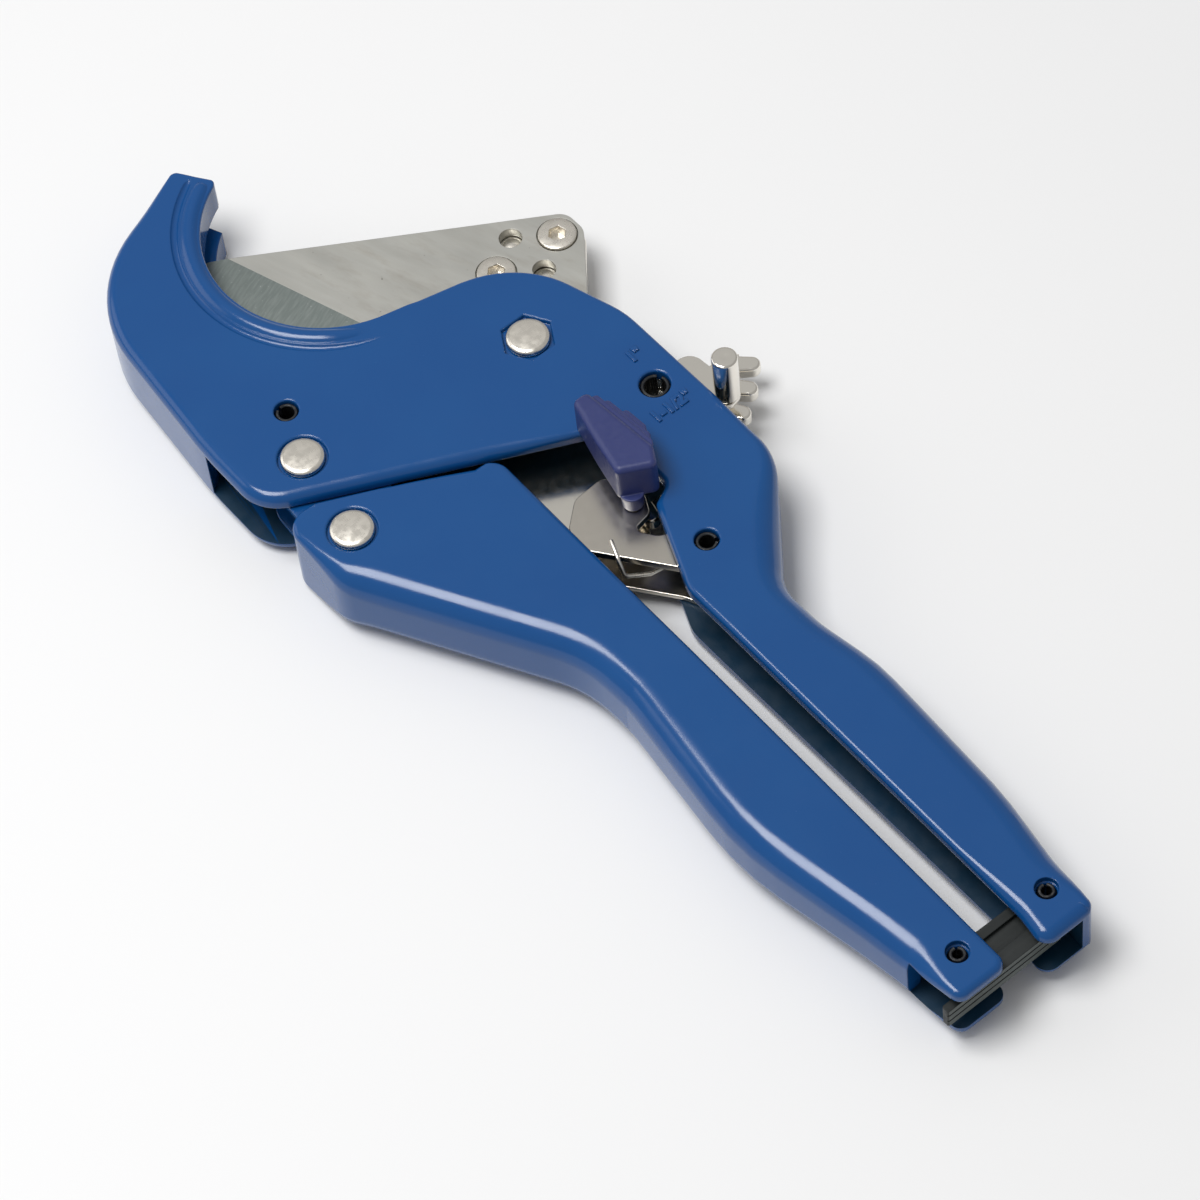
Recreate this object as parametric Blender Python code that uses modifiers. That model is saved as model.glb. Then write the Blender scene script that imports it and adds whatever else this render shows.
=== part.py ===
"""Ratcheting PVC pipe cutter, modelled at real size and at rest with the handles closed.

Frame: metres. The origin is where the blade's pivot axis meets the plane that the tool lies on,
which is the far end of the rivets. +X runs along the closed grips, +Y is the side that the blade
opens to, and +Z comes out of the face with the thumb lever. The dimensions below are in
millimetres, heights are counted from the tool's mid-plane, and MM turns them into metres.
"""

from math import acos, atan2, cos, degrees, hypot, pi, radians, sin, tan

import bmesh
import bpy
from mathutils import Matrix, Vector

MM = 0.001

# Driving dimensions, in millimetres.
HALF = 8.0                      # half the thickness of both castings
WALL = 2.5                      # thickness of each casting's side walls
GAP = 0.3                       # clearance between neighbouring pieces
TAPER_FROM = 70.0               # the grips get thinner beyond this X
TAPER_TO = 153.0
TAPER_END = 0.80                # share of the thickness left at the grip ends

BLADE_PIVOT = (0.0, 0.0)
HANDLE_PIVOT = (-6.5, -46.1)
HANDLE_RIVET = (11.7, -49.1)
PAWL_PIN = (22.5, -40.5)
STOP_PIN = (-16.6, -42.0)
SELECTOR_PIN = (23.4, 10.1)
RELEASE_PIN = (55.2, -4.7)
CATCH_PIN = (145.6, -7.9)
LATCH_PIN = (144.8, -26.8)

RIVET_HEAD_R = 4.0
RIVET_PROUD = 0.6               # how far the rivets' ends stand out of the castings
RIVET_SHANK_R = 3.0
BUSH_R = 4.0
ROLL_PIN_R = 2.0
SELECTOR_PIN_R = 2.6
GRIP_PIN_R = 1.5                # the two pins at the grips' ends
JAW_CENTRE = (-45.0, -10.0)
JAW_R = 24.0
SLOT_R = 30.5
SLOT_HALF = 1.4

BLADE_Z = (-0.9, 1.1)
CARRIER_Z = (-3.9, -1.2)
NEAR_PLATE_Z = (3.4, 5.0)
FAR_PLATE_Z = (-5.2, -4.2)
SELECTOR_Z = (1.9, 3.1)

TOOTH_COUNT = 11
TOOTH_PITCH = 8.0               # degrees
TOOTH_TOP_ANGLE = 49.0          # degrees, the highest tooth at rest
TOOTH_TIP_R = 41.2
TOOTH_ROOT_R = 37.4
TOOTH_HALF = 1.6                # half width of one finger-like tooth

SCREWS = ((-19.0, 21.6), (-19.7, 7.8))
DOWELS = ((-24.2, 14.8), (-14.4, 14.8))
SCREW_HEAD_R = 3.65
DOWEL_R = 2.15
STEM = (39.2, -8.2)             # where the thumb lever's stem goes down
PAWL_RIVET = (46.0, 5.5)
POST = (30.9, 20.3)

BLUE_PAINT = ("blue_paint", (0.016, 0.094, 0.300), 0.22, 0.0)
STEEL = ("ground_steel", (0.38, 0.38, 0.35), 0.38, 1.0)
NICKEL = ("nickel_plate", (0.55, 0.52, 0.45), 0.18, 1.0)
BLACK_STEEL = ("black_oxide", (0.02, 0.02, 0.022), 0.35, 0.8)
VIOLET = ("violet_plastic", (0.050, 0.052, 0.170), 0.32, 0.0)
BLACK = ("black_nylon", (0.022, 0.026, 0.026), 0.45, 0.0)


def clear_scene():
    for obj in list(bpy.data.objects):
        bpy.data.objects.remove(obj, do_unlink=True)


def new_collection(name):
    collection = bpy.data.collections.new(name)
    bpy.context.scene.collection.children.link(collection)
    return collection


clear_scene()
PARTS = new_collection("pvc_pipe_cutter")
CUTTERS = new_collection("cutters")
CUTTERS.hide_render = True


def material(spec):
    name, colour, roughness, metallic = spec
    found = bpy.data.materials.get(name)
    if found:
        return found
    made = bpy.data.materials.new(name)
    made.use_nodes = True
    shader = made.node_tree.nodes["Principled BSDF"]
    shader.inputs["Base Color"].default_value = (*colour, 1.0)
    shader.inputs["Roughness"].default_value = roughness
    shader.inputs["Metallic"].default_value = metallic
    return made


# ---- Plan outlines ----

def arc(centre, radius, start, end, steps):
    """Points on an arc, with the angles in degrees."""
    turn = [radians(start + (end - start) * i / steps) for i in range(steps + 1)]
    return [(centre[0] + radius * cos(a), centre[1] + radius * sin(a)) for a in turn]


def rounded(corners, step=14.0):
    """A polygon from corners (x, y) or (x, y, fillet radius), one arc point every step degrees."""
    points = []
    count = len(corners)
    for i, corner in enumerate(corners):
        here = Vector(corner[:2])
        radius = corner[2] if len(corner) > 2 else 0.0
        back = (Vector(corners[i - 1][:2]) - here).normalized()
        ahead = (Vector(corners[(i + 1) % count][:2]) - here).normalized()
        turn = pi - back.angle(ahead)
        if radius <= 0.0 or turn < 0.02:
            points.append(tuple(here))
            continue
        reach = radius * tan(turn / 2)
        start = here + back * reach
        centre = here + (back + ahead).normalized() * radius / cos(turn / 2)
        side = 1.0 if back.cross(ahead) < 0.0 else -1.0
        first = atan2(start.y - centre.y, start.x - centre.x)
        steps = max(1, round(degrees(turn) / step))
        for k in range(steps + 1):
            angle = first + side * turn * k / steps
            points.append((centre.x + radius * cos(angle), centre.y + radius * sin(angle)))
    return points


def polar(centre, radius, angle):
    return (centre[0] + radius * cos(radians(angle)), centre[1] + radius * sin(radians(angle)))


# ---- Solids ----

def add(name, mesh, collection=PARTS, spec=None):
    obj = bpy.data.objects.new(name, mesh)
    collection.objects.link(obj)
    if spec:
        mesh.materials.clear()
        mesh.materials.append(material(spec))
    return obj


def smooth(mesh, angle=35.0):
    mesh.shade_smooth()
    mesh.set_sharp_from_angle(angle=radians(angle))


def face_outwards(work):
    bmesh.ops.recalc_face_normals(work, faces=work.faces)
    if work.calc_volume(signed=True) < 0.0:
        bmesh.ops.reverse_faces(work, faces=work.faces)


def baked(obj, name=None, spec=None):
    """The object with its modifiers applied, as a new object in its place."""
    graph = bpy.context.evaluated_depsgraph_get()
    mesh = bpy.data.meshes.new_from_object(obj.evaluated_get(graph))
    mesh.transform(obj.matrix_world)
    name = name or obj.name
    collection = obj.users_collection[0]
    bpy.data.objects.remove(obj, do_unlink=True)
    work = bmesh.new()
    work.from_mesh(mesh)
    bmesh.ops.remove_doubles(work, verts=work.verts, dist=1e-6)
    face_outwards(work)
    work.to_mesh(mesh)
    work.free()
    mesh.name = name
    return add(name, mesh, collection, spec)


def flat(name, outline, low, high, holes=(), spec=None, collection=PARTS):
    """A flat plate with holes, from a 2D curve of half the thickness as extrusion."""
    curve = bpy.data.curves.new(name, "CURVE")
    curve.dimensions = "2D"
    curve.fill_mode = "BOTH"
    curve.extrude = (high - low) / 2 * MM
    for ring in (outline, *holes):
        spline = curve.splines.new("POLY")
        spline.points.add(len(ring) - 1)
        for point, (x, y) in zip(spline.points, ring):
            point.co = (x * MM, y * MM, 0.0, 1.0)
        spline.use_cyclic_u = True
    obj = bpy.data.objects.new(name, curve)
    collection.objects.link(obj)
    obj.location.z = (high + low) / 2 * MM
    bpy.context.view_layer.update()
    plate = baked(obj, name, spec)
    if plate.data.materials:
        smooth(plate.data)
    return plate


def disc(name, centre, radius, low, high, segments=28, collection=PARTS, spec=None, top=None):
    """A cylinder, or a cone when top gives the radius at its high end."""
    mesh = bpy.data.meshes.new(name)
    work = bmesh.new()
    bmesh.ops.create_cone(
        work, cap_ends=True, segments=segments, radius1=radius * MM,
        radius2=(radius if top is None else top) * MM, depth=(high - low) * MM,
        matrix=Matrix.Translation((centre[0] * MM, centre[1] * MM, (high + low) / 2 * MM)),
    )
    work.to_mesh(mesh)
    work.free()
    smooth(mesh)
    return add(name, mesh, collection, spec)


def turned(name, centre, profile, segments=28, spec=None, collection=PARTS):
    """A piece turned about Z at centre, from (radius, z) pairs running top to bottom."""
    mesh = bpy.data.meshes.new(name)
    work = bmesh.new()
    points = [work.verts.new((r * MM, 0.0, z * MM)) for r, z in profile]
    for a, b in zip(points, points[1:]):
        work.edges.new((a, b))
    if profile[0][0] > 0.0:
        work.edges.new((points[-1], points[0]))
    work.to_mesh(mesh)
    work.free()
    obj = add(name, mesh, collection)
    obj.location = (centre[0] * MM, centre[1] * MM, 0.0)
    screw = obj.modifiers.new("turn", "SCREW")
    screw.steps = segments
    screw.render_steps = segments
    screw.use_merge_vertices = True
    screw.merge_threshold = 1e-6
    bpy.context.view_layer.update()
    made = baked(obj, name, spec)
    smooth(made.data)
    return made


def wire(name, path, radius, spec, cyclic=False, resolution=2, collection=PARTS):
    """A round wire along (x, y, z) points in millimetres, or (x, y, z, share of the radius)."""
    curve = bpy.data.curves.new(name, "CURVE")
    curve.dimensions = "3D"
    curve.bevel_depth = radius * MM
    curve.bevel_resolution = resolution
    curve.use_fill_caps = True
    spline = curve.splines.new("POLY")
    spline.points.add(len(path) - 1)
    for point, place in zip(spline.points, path):
        point.co = (place[0] * MM, place[1] * MM, place[2] * MM, 1.0)
        point.radius = place[3] if len(place) > 3 else 1.0
    spline.use_cyclic_u = cyclic
    obj = bpy.data.objects.new(name, curve)
    collection.objects.link(obj)
    bpy.context.view_layer.update()
    made = baked(obj, name, spec)
    smooth(made.data, 60.0)
    return made


def combine(obj, tool, operation):
    """A Boolean of obj with a helper, which is hidden and moved to the cutters."""
    step = obj.modifiers.new(tool.name, "BOOLEAN")
    step.operation = operation
    step.solver = "EXACT"
    step.object = tool
    tool.hide_render = True
    tool.display_type = "WIRE"
    for collection in list(tool.users_collection):
        collection.objects.unlink(tool)
    CUTTERS.objects.link(tool)


def cut(obj, *tools):
    for tool in tools:
        combine(obj, tool, "DIFFERENCE")
    return obj


def join(obj, *tools):
    for tool in tools:
        combine(obj, tool, "UNION")
    return obj


def spread(outline, longest):
    """The outline with extra points, so that no side is over longest."""
    points = []
    for (ax, ay), (bx, by) in zip(outline, outline[1:] + outline[:1]):
        steps = max(1, int(hypot(bx - ax, by - ay) / longest + 0.5))
        points += [(ax + (bx - ax) * k / steps, ay + (by - ay) * k / steps) for k in range(steps)]
    return points


def inward(outline):
    """At each point of a counterclockwise outline, the offset that moves both its sides in by one."""
    offsets = []
    count = len(outline)
    for i, point in enumerate(outline):
        before = (Vector(point) - Vector(outline[i - 1])).normalized()
        after = (Vector(outline[(i + 1) % count]) - Vector(point)).normalized()
        normal = Vector((-before.y - after.y, before.x + after.x)).normalized()
        offsets.append(normal / max(normal.dot(Vector((-after.y, after.x))), 0.5))
    return offsets


def lofted(name, sections):
    """A closed solid through rings of (x, y, z) points in millimetres, all with as many points."""
    mesh = bpy.data.meshes.new(name)
    work = bmesh.new()
    rings = [[work.verts.new(Vector(place) * MM) for place in ring] for ring in sections]
    for low, high in zip(rings, rings[1:]):
        for i in range(len(low)):
            work.faces.new((low[i - 1], low[i], high[i], high[i - 1]))
    work.faces.new(rings[0])
    work.faces.new(rings[-1])
    face_outwards(work)
    work.to_mesh(mesh)
    work.free()
    return add(name, mesh)


def rim_turns(steps):
    """The angles round a quarter of a rim, from the face to the side."""
    return [90.0 * k / steps for k in range(steps + 1)]


def casting(name, outline, fillet, rim_steps=3, longest=7.0):
    """A solid of full thickness, both rims rounded by fillet(x, y) millimetres."""
    outline = spread(outline, longest)
    offsets = inward(outline)
    sections = []
    for side in (-1, 1):
        turns = rim_turns(rim_steps)
        for turn in (reversed(turns) if side < 0 else turns):
            ring = []
            for (x, y), offset in zip(outline, offsets):
                radius = fillet(x, y)
                inset = offset * radius * (1.0 - cos(radians(turn)))
                height = side * (HALF - radius * (1.0 - sin(radians(turn))))
                ring.append((x + inset.x, y + inset.y, height))
            sections.append(ring)
    return lofted(name, sections)


def tapered(obj, spec):
    """Bakes a casting, then thins it evenly from TAPER_FROM to the grip's end."""
    bpy.context.view_layer.update()
    obj = baked(obj, obj.name, spec)
    work = bmesh.new()
    work.from_mesh(obj.data)
    bmesh.ops.bisect_plane(
        work, geom=work.verts[:] + work.edges[:] + work.faces[:],
        plane_co=(TAPER_FROM * MM, 0, 0), plane_no=(1, 0, 0),
    )
    for vert in work.verts:
        vert.co.z *= taper(vert.co.x / MM)
    bmesh.ops.triangulate(work, faces=[face for face in work.faces if len(face.verts) > 4])
    work.to_mesh(obj.data)
    work.free()
    smooth(obj.data, 30.0)
    return obj


def taper(x):
    share = min(max((x - TAPER_FROM) / (TAPER_TO - TAPER_FROM), 0.0), 1.0)
    return 1.0 - (1.0 - TAPER_END) * share


def blend(x, start, end, before, after):
    """before up to start, after from end on, and a smooth change between."""
    share = min(max((x - start) / (end - start), 0.0), 1.0)
    return before + (after - before) * share * share * (3 - 2 * share)


def ring_of(centre, radius, steps=24):
    return arc(centre, radius, 0.0, 360.0 * (steps - 1) / steps, steps - 1)


# ---- Frame: jaw, body and upper grip in one casting ----

def frame_outline():
    jaw = arc(JAW_CENTRE, JAW_R, -13.0, -153.5, 14)
    return rounded([
        (-74.6, -24.2, 1.5), (-63.2, -53.9, 27.0), (-20.0, -58.1, 60.0), (-3.4, -58.3, 9.0),
        (25.2, -2.0, 3.0), (41.2, -2.0, 2.5), (43.2, -6.2, 1.5), (60.8, -13.7, 8.0),
        (146.0, -14.2, 10.0), (153.2, -15.3, 2.6), (153.2, -4.1, 2.0), (126.0, 0.5, 40.0),
        (93.0, 2.2, 40.0), (80.0, 0.1, 20.0), (70.0, 0.0, 10.0), (48.8, 16.7, 13.0),
        (7.2, 16.7, 20.0), (-15.5, 10.0, 20.0), *jaw, (-67.6, -19.8, 0.9), (-70.6, -21.8, 1.2),
    ])


def frame_fillet(x, y):
    if hypot(x - JAW_CENTRE[0], y - JAW_CENTRE[1]) < JAW_R + 0.8 or y > -23.0 and x < -60.0:
        return 0.5
    if x < -60.0:
        return blend(-y, 23.0, 36.0, 0.6, 2.2)
    if x > 44.0 and y > -5.0:
        return blend(x, 140.0, 152.0, blend(x, 44.0, 62.0, 2.0, 5.3), 1.4)
    if x > 40.0 and y < 0.0:
        return blend(x, 128.0, 146.0, 1.0, 2.2)
    if x > -22.0 and y > 0.0:
        return blend(x, 30.0, 44.0, 1.0, 2.0)
    if y > -3.0 or x < -17.0 and y > -20.0:
        return 0.9
    if x > 0.0:
        return blend(y, -24.0, -4.0, 2.2, 0.9)
    return 2.2


def frame_cavity():
    """The space between the side walls: open to the top, to the lower right and at the grip's end."""
    inner_web = [
        (160.0, -7.2), (150.0, -6.6), (126.0, -2.4), (94.0, -1.0), (80.0, -3.0),
        (68.8, -3.0), (50.0, 12.0), (44.0, 13.6), (42.0, 40.0),
    ]
    jaw_band = arc(JAW_CENTRE, 29.0, -24.0, -98.0, 6)
    corners = [
        (-50.0, -40.6, 3.0), (-51.0, -51.5, 3.0), (-30.0, -54.6), (-22.5, -54.9), (-13.0, -66.0),
        (60.0, -66.0), (160.0, -40.0), *inner_web, (-40.0, 40.0), (-40.0, -2.0), (-24.0, -12.0), *jaw_band,
    ]
    return flat("frame_cavity", rounded(corners), -HALF + WALL, HALF - WALL, collection=CUTTERS)


def blade_slot():
    """The slit that the blade drops into, open to the jaw and cut through the hook's tip."""
    lower = arc(JAW_CENTRE, SLOT_R, -20.0, -152.0, 10)
    tool = flat("blade_slot", lower + [(-76.0, -14.0), (-70.0, 30.0), (0.0, 30.0), (0.0, -24.0)],
                -SLOT_HALF, SLOT_HALF, collection=CUTTERS)
    return tool


def far_jaw_lip():
    """The far side of the jaw reaches further in than the near side, and ends shorter."""
    inner = arc((-44.8, -9.6), 22.7, -146.0, -60.0, 8)
    outer = arc(JAW_CENTRE, 27.0, -62.0, -146.0, 8)
    return flat("far_jaw_lip", inner + outer, -HALF + 0.4, -SLOT_HALF, collection=CUTTERS)


def far_tip():
    """The part of the hook's tip that the far side lacks: it ends lower than the near side."""
    beyond = [(-80.0, -29.4), (-52.0, -18.2), (-52.0, 0.0), (-80.0, 0.0)]
    return flat("far_tip", beyond, -HALF - 1.0, -SLOT_HALF, collection=CUTTERS)


def hex_ring(centre, radius, first):
    return [polar(centre, radius, first + 60.0 * k) for k in range(6)]


def through_hole(name, centre, radius, segments=24, low=-12.0, high=12.0):
    return disc(name, centre, radius, low, high, segments, CUTTERS)


def recess(name, centre, radius, depth, side, segments=28):
    """A shallow round recess in the near face (side 1) or the far face (side -1)."""
    face = side * HALF * taper(centre[0])
    low, high = sorted((face - side * depth, face + side * 3.0))
    return disc(name, centre, radius, low, high, segments, CUTTERS)


def frame_casting():
    obj = casting("frame_casting", frame_outline(), frame_fillet)
    bead_path = [
        (*polar(JAW_CENTRE, JAW_R + 2.1, angle), HALF - 1.25, share)
        for angle, share in [(-152.5, 0.80), (-149.0, 0.95)]
        + [(-140.0 + 10.0 * k, 1.0) for k in range(10)]
        + [(-32.0, 0.9), (-24.0, 0.75), (-17.0, 0.55)]
    ]
    bead = wire("jaw_bead", bead_path, 2.0, None, resolution=3)
    join(obj, bead, far_jaw_lip())
    cut(obj, frame_cavity(), blade_slot(), far_tip())
    cut(obj, through_hole("hole_c", BLADE_PIVOT, RIVET_SHANK_R + GAP))
    cut(obj, through_hole("hole_a", HANDLE_PIVOT, RIVET_SHANK_R + GAP))
    hexagon = flat("hex_recess", hex_ring(BLADE_PIVOT, 5.1, 90.0), HALF - 0.9, HALF + 3.0,
                   collection=CUTTERS)
    cut(obj, hexagon, recess("recess_c", BLADE_PIVOT, 4.7, 0.9, -1))
    for side, word in ((1, "near"), (-1, "far")):
        cut(obj, recess("recess_a_" + word, HANDLE_PIVOT, 4.7, 0.9, side))
    for name, centre in (("hole_r1", STOP_PIN), ("hole_r3", RELEASE_PIN)):
        cut(obj, through_hole(name, centre, ROLL_PIN_R + GAP, 20))
    cut(obj, through_hole("hole_r4", CATCH_PIN, GRIP_PIN_R + GAP, 20))
    cut(obj, through_hole("hole_r2", SELECTOR_PIN, SELECTOR_PIN_R + GAP, 24, 0.0))
    return tapered(obj, BLUE_PAINT)


# ---- Handle: the lower grip ----

def handle_outline():
    return rounded([
        (2.1, -57.3, 4.2), (18.5, -57.5, 9.0), (58.5, -35.9, 25.0), (70.0, -35.5, 30.0),
        (104.0, -39.9, 60.0), (130.0, -35.4, 60.0), (151.7, -32.4, 2.2), (151.7, -21.9, 2.2),
        (100.0, -21.3), (60.0, -21.0), (17.2, -20.4, 4.0), (2.4, -50.4, 4.0),
    ])


def handle_fillet(x, y):
    if y < -24.0 and x > 8.0:
        return blend(x, 138.0, 150.0, blend(x, 8.0, 24.0, 1.6, 5.0), 1.3)
    return 1.3


def handle_cavity():
    corners = [
        (-8.0, -54.6), (17.4, -54.8, 6.0), (57.6, -32.8, 22.0), (70.0, -32.4, 30.0),
        (104.0, -36.8, 60.0), (129.6, -32.4, 40.0), (140.2, -30.9), (140.8, -44.0),
        (170.0, -44.0), (170.0, -10.0), (-8.0, -10.0),
    ]
    return flat("handle_cavity", rounded(corners), -HALF + WALL, HALF - WALL, collection=CUTTERS)


def handle_casting():
    obj = casting("handle_casting", handle_outline(), handle_fillet)
    cut(obj, handle_cavity())
    cut(obj, through_hole("hole_b", HANDLE_RIVET, RIVET_SHANK_R + GAP))
    for side, word in ((1, "near"), (-1, "far")):
        cut(obj, recess("recess_b_" + word, HANDLE_RIVET, 4.7, 0.9, side))
    cut(obj, through_hole("hole_r5", LATCH_PIN, GRIP_PIN_R + GAP, 20))
    return tapered(obj, BLUE_PAINT)


# ---- Rivets, bushes and pins ----

def rivet(name, centre):
    """A rivet through both walls, with bevelled heads a little proud of the faces."""
    top = HALF + RIVET_PROUD
    under = HALF - 0.9 + GAP
    rim = top - 0.45
    half_profile = [(0.0, top), (RIVET_HEAD_R - 0.5, top), (RIVET_HEAD_R, rim),
                    (RIVET_HEAD_R, under), (RIVET_SHANK_R, under)]
    profile = half_profile + [(r, -z) for r, z in reversed(half_profile)]
    return turned(name, centre, profile, 28, NICKEL)


def bush(name, centre, outer, inner, low, high, spec=STEEL, segments=24):
    profile = [(inner, high), (outer, high), (outer, low), (inner, low)]
    return turned(name, centre, profile, segments, spec)


def roll_pin(name, centre, radius, low, high, split_angle):
    """A spring pin: a rolled tube with a split along its side."""
    half_split = 14.0
    bore = radius - 0.65
    outer = arc(centre, radius, split_angle + half_split, split_angle + 360.0 - half_split, 18)
    inner = arc(centre, bore, split_angle + 360.0 - half_split, split_angle + half_split, 18)
    return flat(name, outer + inner, low, high, spec=BLACK_STEEL)


def touch_angle(centre, radius, place, side):
    """The angle at which a straight line from place touches the circle, on one side of it."""
    away = Vector(place) - Vector(centre)
    return degrees(atan2(away.y, away.x)) + side * degrees(acos(radius / away.length))


def coil(name, centre, radius, thickness, low, turns, lead_in, lead_out, spec=BLACK_STEEL):
    """A torsion spring: a close coil with a straight leg at each end, ending at lead_in and lead_out."""
    steps = 14
    pitch = 2 * thickness + 0.12
    start = touch_angle(centre, radius, lead_in, 1)
    finish = touch_angle(centre, radius, lead_out, -1)
    sweep = 360.0 * turns + (finish - start) % 360.0
    count = int(sweep / 360.0 * steps)
    path = [(*lead_in, low + thickness)]
    for k in range(count + 1):
        angle = start + sweep * k / count
        height = low + thickness + pitch * sweep * k / count / 360.0
        path.append((*polar(centre, radius, angle), height))
    path.append((*lead_out, path[-1][2]))
    return wire(name, path, thickness, spec, resolution=1)


# ---- Blade, its carrier and the ratchet teeth ----

def blade():
    outline = rounded([
        (-58.4, -30.2, 1.0), (-55.6, -36.0, 2.0), (-50.95, -37.0, 2.0), (-24.0, -28.5, 2.0),
        (-17.5, -17.5, 6.0), (-6.5, -9.5, 3.0), (9.5, -6.0, 5.0), (9.5, 6.3, 6.0),
        (-16.7, 26.0, 3.4), (-21.8, 26.0, 3.4),
    ])
    holes = [ring_of(BLADE_PIVOT, BUSH_R + GAP)]
    holes += [ring_of(place, SCREW_HEAD_R - 1.4, 20) for place in SCREWS]
    holes += [ring_of(place, DOWEL_R + 0.1, 20) for place in DOWELS]
    plate = flat("blade", outline, *BLADE_Z, holes, STEEL)
    bevel_line = Vector((26.7, 8.4)).normalized()
    normal = Vector((bevel_line.y, -bevel_line.x))
    start = Vector((-54.4, -26.0)) - bevel_line * 20.0
    width = 11.6
    grind = bpy.data.meshes.new("grind")
    work = bmesh.new()
    bmesh.ops.create_cube(work, size=1.0)
    tilt = atan2(BLADE_Z[1] - BLADE_Z[0] - 0.25, width)
    turn = Matrix.Rotation(atan2(bevel_line.y, bevel_line.x), 4, "Z") @ Matrix.Rotation(tilt, 4, "X")
    size = Matrix.Diagonal((70 * MM, 30 * MM, 6 * MM, 1.0))
    shift = Matrix.Translation((25 * MM, -15 * MM, 3 * MM))
    place = Matrix.Translation((start.x * MM, start.y * MM, BLADE_Z[1] * MM))
    bmesh.ops.transform(work, matrix=place @ turn @ shift @ size, verts=work.verts)
    work.to_mesh(grind)
    work.free()
    cut(plate, add("grind", grind, CUTTERS))
    for number, centre in enumerate(SCREWS):
        cut(plate, disc(f"screw_sink_{number}", centre, SCREW_HEAD_R + GAP, BLADE_Z[1] - 0.8,
                        BLADE_Z[1] + 2.0, 24, CUTTERS))
    bpy.context.view_layer.update()
    made = baked(plate, "blade", STEEL)
    smooth(made.data)
    return made


def tooth(angle):
    """One rounded finger of the sector, as plan points running up one flank and down the other."""
    radial = Vector((cos(radians(angle)), sin(radians(angle))))
    side = Vector((-radial.y, radial.x))
    nose = TOOTH_TIP_R - TOOTH_HALF
    points = [radial * TOOTH_ROOT_R - side * (TOOTH_HALF + 0.15)]
    for k in range(5):
        lean = radians(-90.0 + 45.0 * k)
        points.append(radial * (nose + TOOTH_HALF * cos(lean)) + side * TOOTH_HALF * sin(lean))
    points.append(radial * TOOTH_ROOT_R + side * (TOOTH_HALF + 0.15))
    return [tuple(point) for point in points]


def blade_carrier():
    teeth = []
    for number in reversed(range(TOOTH_COUNT)):
        teeth += tooth(TOOTH_TOP_ANGLE - TOOTH_PITCH * number)
    last = TOOTH_TOP_ANGLE - TOOTH_PITCH * (TOOTH_COUNT - 1)
    top_end = polar(BLADE_PIVOT, TOOTH_ROOT_R, TOOTH_TOP_ANGLE + 3.4)
    low_end = polar(BLADE_PIVOT, TOOTH_ROOT_R, last - 4.0)
    outline = teeth + rounded([
        top_end, (20.6, 27.4, 1.5), (21.4, 24.0, 2.0), (17.8, 20.0, 3.0), (10.0, 15.5, 8.0),
        (-4.5, 16.6, 4.0), (-16.9, 26.5, 3.2),
        (-21.4, 25.2, 3.0), (-28.0, 16.0, 3.0), (-27.0, 10.5, 4.0), (-17.5, 1.0, 5.0),
        (-12.5, -8.5, 6.0), (2.0, -14.5, 8.0), (12.0, -19.0, 8.0), low_end,
    ])
    holes = [ring_of(BLADE_PIVOT, BUSH_R + GAP)]
    holes += [ring_of(place, SCREW_HEAD_R - 1.4, 20) for place in SCREWS]
    holes += [ring_of(place, DOWEL_R - 0.25, 20) for place in DOWELS]
    return flat("blade_carrier", outline, *CARRIER_Z, holes, NICKEL)


def blade_screw(name, centre):
    """A flat-head screw with a hexagon socket, sunk into the blade and through the carrier."""
    shank = SCREW_HEAD_R - 1.4 - GAP
    under = BLADE_Z[1] - 0.8 + GAP
    top = BLADE_Z[1] + 0.45
    profile = [(0.0, top), (SCREW_HEAD_R - 0.3, top), (SCREW_HEAD_R, top - 0.3),
               (SCREW_HEAD_R, under), (shank, under), (shank, CARRIER_Z[0]), (0.0, CARRIER_Z[0])]
    screw = turned(name, centre, profile, 28, NICKEL)
    socket = flat(name + "_socket", hex_ring(centre, 1.45, 15.0), top - 1.5, top + 2.0,
                  collection=CUTTERS)
    cut(screw, socket)
    return screw


def dowel(name, centre):
    """A pin that locates the blade on its carrier, short of the blade's face."""
    radius = DOWEL_R - 0.25 - GAP
    return disc(name, centre, radius, CARRIER_Z[0], BLADE_Z[1] - 0.7, 20, spec=NICKEL)


# ---- Handle straps and drive pawl ----

def strap(name, low, high):
    outline = rounded([
        (-13.3, -46.1, 6.6), (-9.0, -53.0, 6.0), (11.7, -54.4, 5.0), (28.2, -43.0, 4.4),
        (23.8, -35.4, 4.4), (-6.5, -38.6, 6.0), (-12.0, -40.0, 5.0),
    ])
    holes = [ring_of(HANDLE_PIVOT, BUSH_R + GAP), ring_of(HANDLE_RIVET, RIVET_SHANK_R + GAP),
             ring_of(PAWL_PIN, ROLL_PIN_R + GAP, 20)]
    return flat(name, outline, low, high, holes, BLUE_PAINT)


def drive_pawl():
    """A hooked strut from the pawl pin to the lowest ratchet tooth, clear of the tooth tips."""
    nose = polar(BLADE_PIVOT, TOOTH_TIP_R + 0.5, -36.5)
    heel = polar(BLADE_PIVOT, TOOTH_TIP_R + 0.7, -43.0)
    eye = arc(PAWL_PIN, 3.8, 150.0, 325.0, 12)
    outline = eye + rounded([
        eye[-1], (nose[0] + 4.2, nose[1] - 2.6, 1.5), (nose[0] + 1.6, nose[1] + 1.2, 0.8), (*nose, 0.4),
        (*heel, 1.0), (22.6, -36.4, 3.0), eye[0],
    ])[1:-1]
    return flat("drive_pawl", outline, *CARRIER_Z, [ring_of(PAWL_PIN, ROLL_PIN_R + GAP, 20)], STEEL)


# ---- Release lever: two plates, the hold pawl and the thumb lever on the release pin ----

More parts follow.
